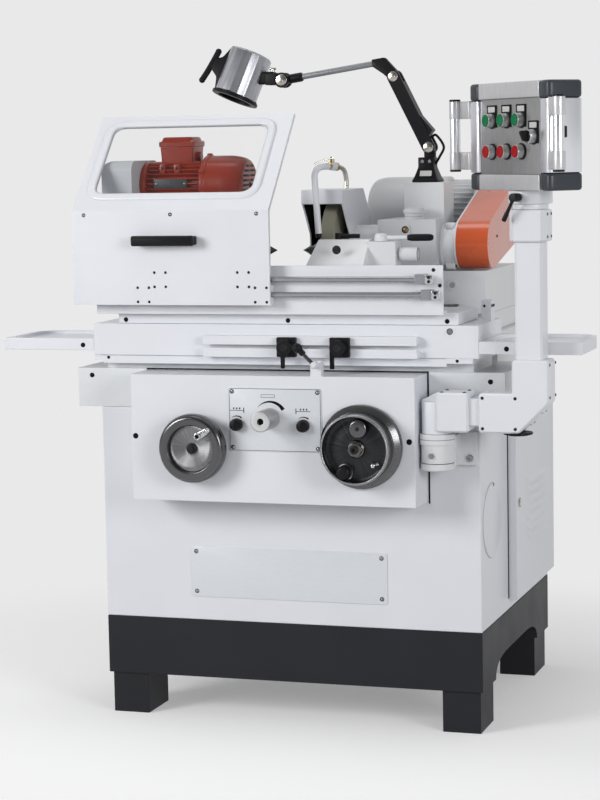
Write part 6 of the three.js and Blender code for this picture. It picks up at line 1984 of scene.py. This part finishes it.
    def grips(self) -> None:
        """Puts a tubular grip at each side of the case, and a latch on the right."""
        d = self.half_depth
        tubes, brackets, ends = [], [], []
        p = self.plane()
        for side in (-1, 1):
            a = side * 204.5
            tubes.append(bar(p.spot(a, 1256, d + 7), p.spot(a, 1406, d + 7), 11.7, 1))
            ends += [
                bar(p.spot(a, z, d + 7), p.spot(a, z + 5, d + 7), 12.2, 1.8)
                for z in (1252.5, 1404.5)
            ]
            span = (155, 204) if side > 0 else (-204, -155)
            for z in (1257, 1367):
                brackets.append(bar(p.spot(a, z, d + 7), p.spot(a, z + 38, d + 7), 12.6, 1.6))
                brackets.append(self.upright(box_line(span, (d - 12, d + 2), 4), (z, z + 38), 1.6))
        make("grip_tubes", tubes, ALUMINIUM, "pendant", angle=45)
        make("grip_brackets", brackets, BAR_STEEL, "pendant")
        make("grip_ends", ends, PLASTIC, "pendant")
        side_face = Plane(tuple(p.spot(156.6, 0)), tuple(-p.normal), UPWARD)
        latch = slab(box_line((-16, 2), (1322, 1346), 3), side_face, -0.5, 1.4, 0.5)
        make("case_latch", [latch], OXIDE, "pendant")

    def bezels(self) -> None:
        """Turns the plated bezels and the black rings at their feet."""
        p = self.plane()
        rims, feet = [], []
        rim = [
            (11.4, 36), (14.5, 36), (14.5, 54), (14.1, 55.2), (13.4, 55.2), (13.4, 46), (11.4, 46)
        ]
        rim = eased(rim, [0, 0, 0.8, 0.5, 0.3, 0.3, 0.3])
        foot = eased([(13, 37), (17.5, 37), (17.5, 40), (13, 40)], 0.6)
        for a, z in (*self.start_places, *self.stop_places, self.selector):
            rims.append(revolved(rim, p.spot(a, z), p.normal, 48, ring=True))
            feet.append(revolved(foot, p.spot(a, z), p.normal, 48, ring=True))
        make("button_bezels", rims, BEZEL, "pendant")
        make("button_collars", feet, PLASTIC, "pendant")

    def buttons(self) -> None:
        """Turns the six caps, slightly dished, and the selector with its triangular lever."""
        p = self.plane()
        cap = [
            (0, 44), (10.8, 44), (10.8, 50.3), (12.9, 50.3), (12.9, 56.2), (10.6, 56.8), (0, 55.6)
        ]
        cap = eased(cap, [0, 0, 0.2, 0.2, 0.8, 1.5, 0], closed=False)
        for kind, places, finish in (
            ("start", self.start_places, GREEN), ("stop", self.stop_places, CRIMSON)
        ):
            for k, (a, z) in enumerate(places, 1):
                node = f"{kind}_button_{k}"
                turned = revolved(cap, p.spot(a, z), p.normal, 40)
                make(f"{node}_cap", [turned], finish, node, [node])
        a, z = self.selector
        stem = eased([(0, 40), (10.8, 40), (10.8, 56.5), (0, 56.5)], [0, 0, 1, 0], closed=False)
        side = Plane(tuple(p.spot(a, z)), tuple(p.normal), UPWARD)
        lever = eased([(55, -11), (64, -10), (72.5, 9), (69, 12), (55, 11)], [1, 4, 2, 2, 1])
        shells = [
            revolved(stem, p.spot(a, z), p.normal, 40), slab(lever, side, -4.6, 4.6, 1.2, True)
        ]
        make("selector_lever", shells, PLASTIC, "selector_knob", ["selector_knob"])

    def legends(self) -> None:
        """Lays black plates with bare inserts behind the start buttons and the selector."""
        p = self.plane()
        frames, inserts = [], []
        for a, z in (*self.start_places, self.selector):
            frames.append(
                slab(box_line((a - 19, a + 19), (z - 15, z + 32.5), 2), p, 37.3, 39.4, 0.5)
            )
            inserts.append(
                slab(box_line((a - 13.5, a + 13.5), (z + 17.5, z + 29), 0.8), p, 39.2, 39.8, 0.2)
            )
        make("label_frames", frames, INK, "pendant")
        make("label_inserts", inserts, IVORY, "pendant")

    def clamp(self) -> None:
        """Makes the clamp lever under the case: hub and leaning rod."""
        side = math.radians(-20)
        out = np.array([math.sin(side), -math.cos(side), 0])
        across = np.array([math.cos(side), math.sin(side), 0])
        base = np.array([self.column_x, self.arm_y, 1198.5])
        lean = math.radians(28)
        start = base + out * 66
        end = start + (-across * math.sin(lean) - np.array([0, 0, math.cos(lean)])) * 57
        rod = eased(
            [(0, 0), (4.2, 0), (3.4, 24), (5.2, 44), (5.2, 56), (0, 57)], [0, 1, 8, 8, 3, 0],
            closed=False,
        )
        shells = [
            bar(base + out * 47.4, base + out * 73.2, 9, 1.5), revolved(rod, start, end - start, 24)
        ]
        make("clamp_lever", shells, PLASTIC, "pendant_clamp", ["pendant_clamp"])


# Camera, light and floor


@dataclass(frozen=True)
class Viewpoint:
    """The photograph's camera, in millimetres, radians and pixels of its 800-pixel side."""

    place: Triple = (1588.765, -4741.685, 1309.613)
    yaw: float = 0.3168
    pitch: float = 0.1123
    roll: float = 0.0194
    focal: float = 2228.39
    long_side: float = 800.0
    sensor: float = 36.0

    def build(self) -> None:
        """Sets the scene's camera at its place and turn.

        It looks along (-sin yaw cos pitch, cos yaw cos pitch, -sin pitch), its right is (cos yaw,
        sin yaw, 0), and the roll then turns it round the first.
        """
        sin_yaw, cos_yaw = math.sin(self.yaw), math.cos(self.yaw)
        sin_pitch, cos_pitch = math.sin(self.pitch), math.cos(self.pitch)
        ahead = np.array([-sin_yaw * cos_pitch, cos_yaw * cos_pitch, -sin_pitch])
        side = np.array([cos_yaw, sin_yaw, 0.0])
        down = np.cross(ahead, side)
        turn_side = math.cos(self.roll) * side + math.sin(self.roll) * down
        turn_down = -math.sin(self.roll) * side + math.cos(self.roll) * down
        lens = bpy.data.cameras.new("camera")
        lens.lens = self.focal / self.long_side * self.sensor
        lens.sensor_width = self.sensor
        lens.clip_end = 100
        camera = placed("camera", lens)
        spot = (np.array(self.place) + SHIFT) * MM
        columns = np.stack([turn_side, -turn_down, -ahead, spot], axis=1)
        camera.matrix_world = Matrix([*columns.tolist(), [0, 0, 0, 1]])
        bpy.context.scene.camera = camera


@dataclass(frozen=True)
class Studio:
    """A pale floor, a pale surround and soft lamps."""

    surround: float = 0.815
    ambient: float = 0.36
    bounce: float = 0.45
    floor_tone: float = 0.8
    floor_glow: float = 0.27
    floor_reach: Triple = (0.95, 0.85, 1.0)
    floor_fade: Pair = (0.8, 2.0)
    mirror_lean: Triple = (0.0, 0.45, 0.15)
    mirror_tones: Sequence[Pair] = (
        (0.0, 0.14), (0.3, 0.2), (0.5, 0.46), (0.68, 0.78), (1.0, 0.815)
    )
    lamps: Sequence[tuple[Triple, float, float]] = (
        ((-3.1, -3.7, 2.2), 1.8, 126.0),
        ((3.8, -3.0, 1.8), 1.6, 74.0),
        ((-0.6, 0.1, 4.4), 1.4, 14.0),
    )

    def build(self) -> None:
        """Lays the floor, lights the world and hangs the lamps."""
        scene = bpy.context.scene
        scene.view_settings.view_transform = "Standard"
        self.world(scene)
        self.floor()
        for k, (place, size, power) in enumerate(self.lamps):
            data = bpy.data.lights.new(f"softbox_{k}", "AREA")
            data.size = size
            data.energy = power
            lamp = placed(f"softbox_{k}", data)
            lamp.visible_camera = False
            ahead = unit(np.array([0, 0, 0.8]) - np.array(place))
            side, _ = square_to(ahead)
            columns = np.stack([side, np.cross(-ahead, side), -ahead, place], axis=1)
            lamp.matrix_world = Matrix([*columns.tolist(), [0, 0, 0, 1]])

    def world(self, scene: bpy.types.Scene) -> None:
        """Makes the world: a plain surround for camera and glass, a room for metal, and soft light.

        Metal sees the surround behind the machine and a darker room behind the camera: the tone
        follows 0.5 + 0.45 y + 0.15 z of the direction.

        Args:
            scene: The scene that gets it.
        """
        world = bpy.data.worlds.new("surround")
        world.use_nodes = True
        world.node_tree.nodes.clear()
        graph = Graph(world.node_tree)
        path = graph.add("LightPath").outputs
        place = graph.add("TexCoord").outputs["Generated"]
        lean = graph.add("VectorMath", {0: place, 1: self.mirror_lean}, operation="DOT_PRODUCT")
        centred = graph.add("Math", {0: lean.outputs["Value"], 1: 0.5})
        ramp = graph.add("ValToRGB", {"Fac": centred.outputs[0]})
        stops = ramp.color_ramp.elements
        while len(stops) < len(self.mirror_tones):
            stops.new(0.5)
        for stop, (spot, tone) in zip(stops, self.mirror_tones):
            stop.position, stop.color = spot, (tone, tone, tone, 1)
        seen = graph.add("Background", {"Color": (self.surround,) * 3 + (1,)}).outputs[0]
        light = graph.add("Background", {"Color": (self.ambient,) * 3 + (1,)}).outputs[0]
        mirror = graph.add("Background", {"Color": ramp.outputs["Color"]}).outputs[0]
        inner = graph.add("MixShader", {0: path["Is Glossy Ray"], 1: light, 2: mirror})
        plain = graph.either(path["Is Camera Ray"], path["Is Transmission Ray"])
        outer = graph.add("MixShader", {0: plain, 1: inner.outputs[0], 2: seen})
        graph.add("OutputWorld", {0: outer.outputs[0]})
        scene.world = world

    def floor(self) -> None:
        """Lays the floor, which holds the machine's shadow and fades to the surround beyond it."""
        mesh = bpy.data.meshes.new("floor")
        reach = 40.0
        corners = [(-reach, -reach, 0), (reach, -reach, 0), (reach, reach, 0), (-reach, reach, 0)]
        mesh.from_pydata(corners, [], [(0, 1, 2, 3)])
        mesh.materials.append(self.floor_material())
        placed("floor", mesh)

    def floor_material(self) -> bpy.types.Material:
        """Builds the floor's material.

        Returns:
            The material: to the camera, metal and glass a diffuse floor with a faint glow, which
            turns into the plain surround from 0.8 to 2 reaches away; to the machine's paint a
            darker diffuse floor.
        """
        made = bpy.data.materials.new("floor")
        made.use_nodes = True
        made.node_tree.nodes.clear()
        graph = Graph(made.node_tree)
        path = graph.add("LightPath").outputs
        seen = graph.either(
            path["Is Camera Ray"], path["Is Glossy Ray"], path["Is Transmission Ray"]
        )
        tones = {"Value": seen, "To Min": self.bounce, "To Max": self.floor_tone}
        tone = graph.add("MapRange", tones).outputs["Result"]
        matt = graph.add("BsdfDiffuse", {"Color": tone})
        glow = graph.add("Math", {0: seen, 1: self.floor_glow}, operation="MULTIPLY")
        near_light = graph.add("Emission", {"Strength": glow.outputs[0]})
        far_light = graph.add("Emission", {"Color": (self.surround,) * 3 + (1,)})
        near = graph.add("AddShader", {0: matt.outputs[0], 1: near_light.outputs[0]})
        place = graph.add("TexCoord").outputs["Object"]
        scaled = graph.add("VectorMath", {0: place, 1: self.floor_reach}, operation="DIVIDE")
        length = graph.add("VectorMath", {0: scaled.outputs[0]}, operation="LENGTH")
        near_end, far_end = self.floor_fade
        span = {"Value": length.outputs["Value"], "From Min": near_end, "From Max": far_end}
        fade = graph.add("MapRange", span, interpolation_type="SMOOTHSTEP").outputs["Result"]
        share = graph.add("Math", {0: fade, 1: seen}, operation="MULTIPLY")
        shaders = {0: share.outputs[0], 1: near.outputs[0], 2: far_light.outputs[0]}
        graph.add("OutputMaterial", {0: graph.add("MixShader", shaders).outputs[0]})
        return made


def main() -> None:
    """Builds the camera, the studio and every sub-assembly."""
    logging.basicConfig(level=logging.INFO, format="%(name)s %(message)s")
    Viewpoint().build()
    Studio().build()
    for part in (
        Base(), Controls(), Tables(), SplashGuard(), Workhead(), Tailstock(), WheelHead(),
        WorkLamp(), Pendant(),
    ):
        part.build()
        log.info("%s is built", type(part).__name__)


if __name__ == "__main__":
    main()
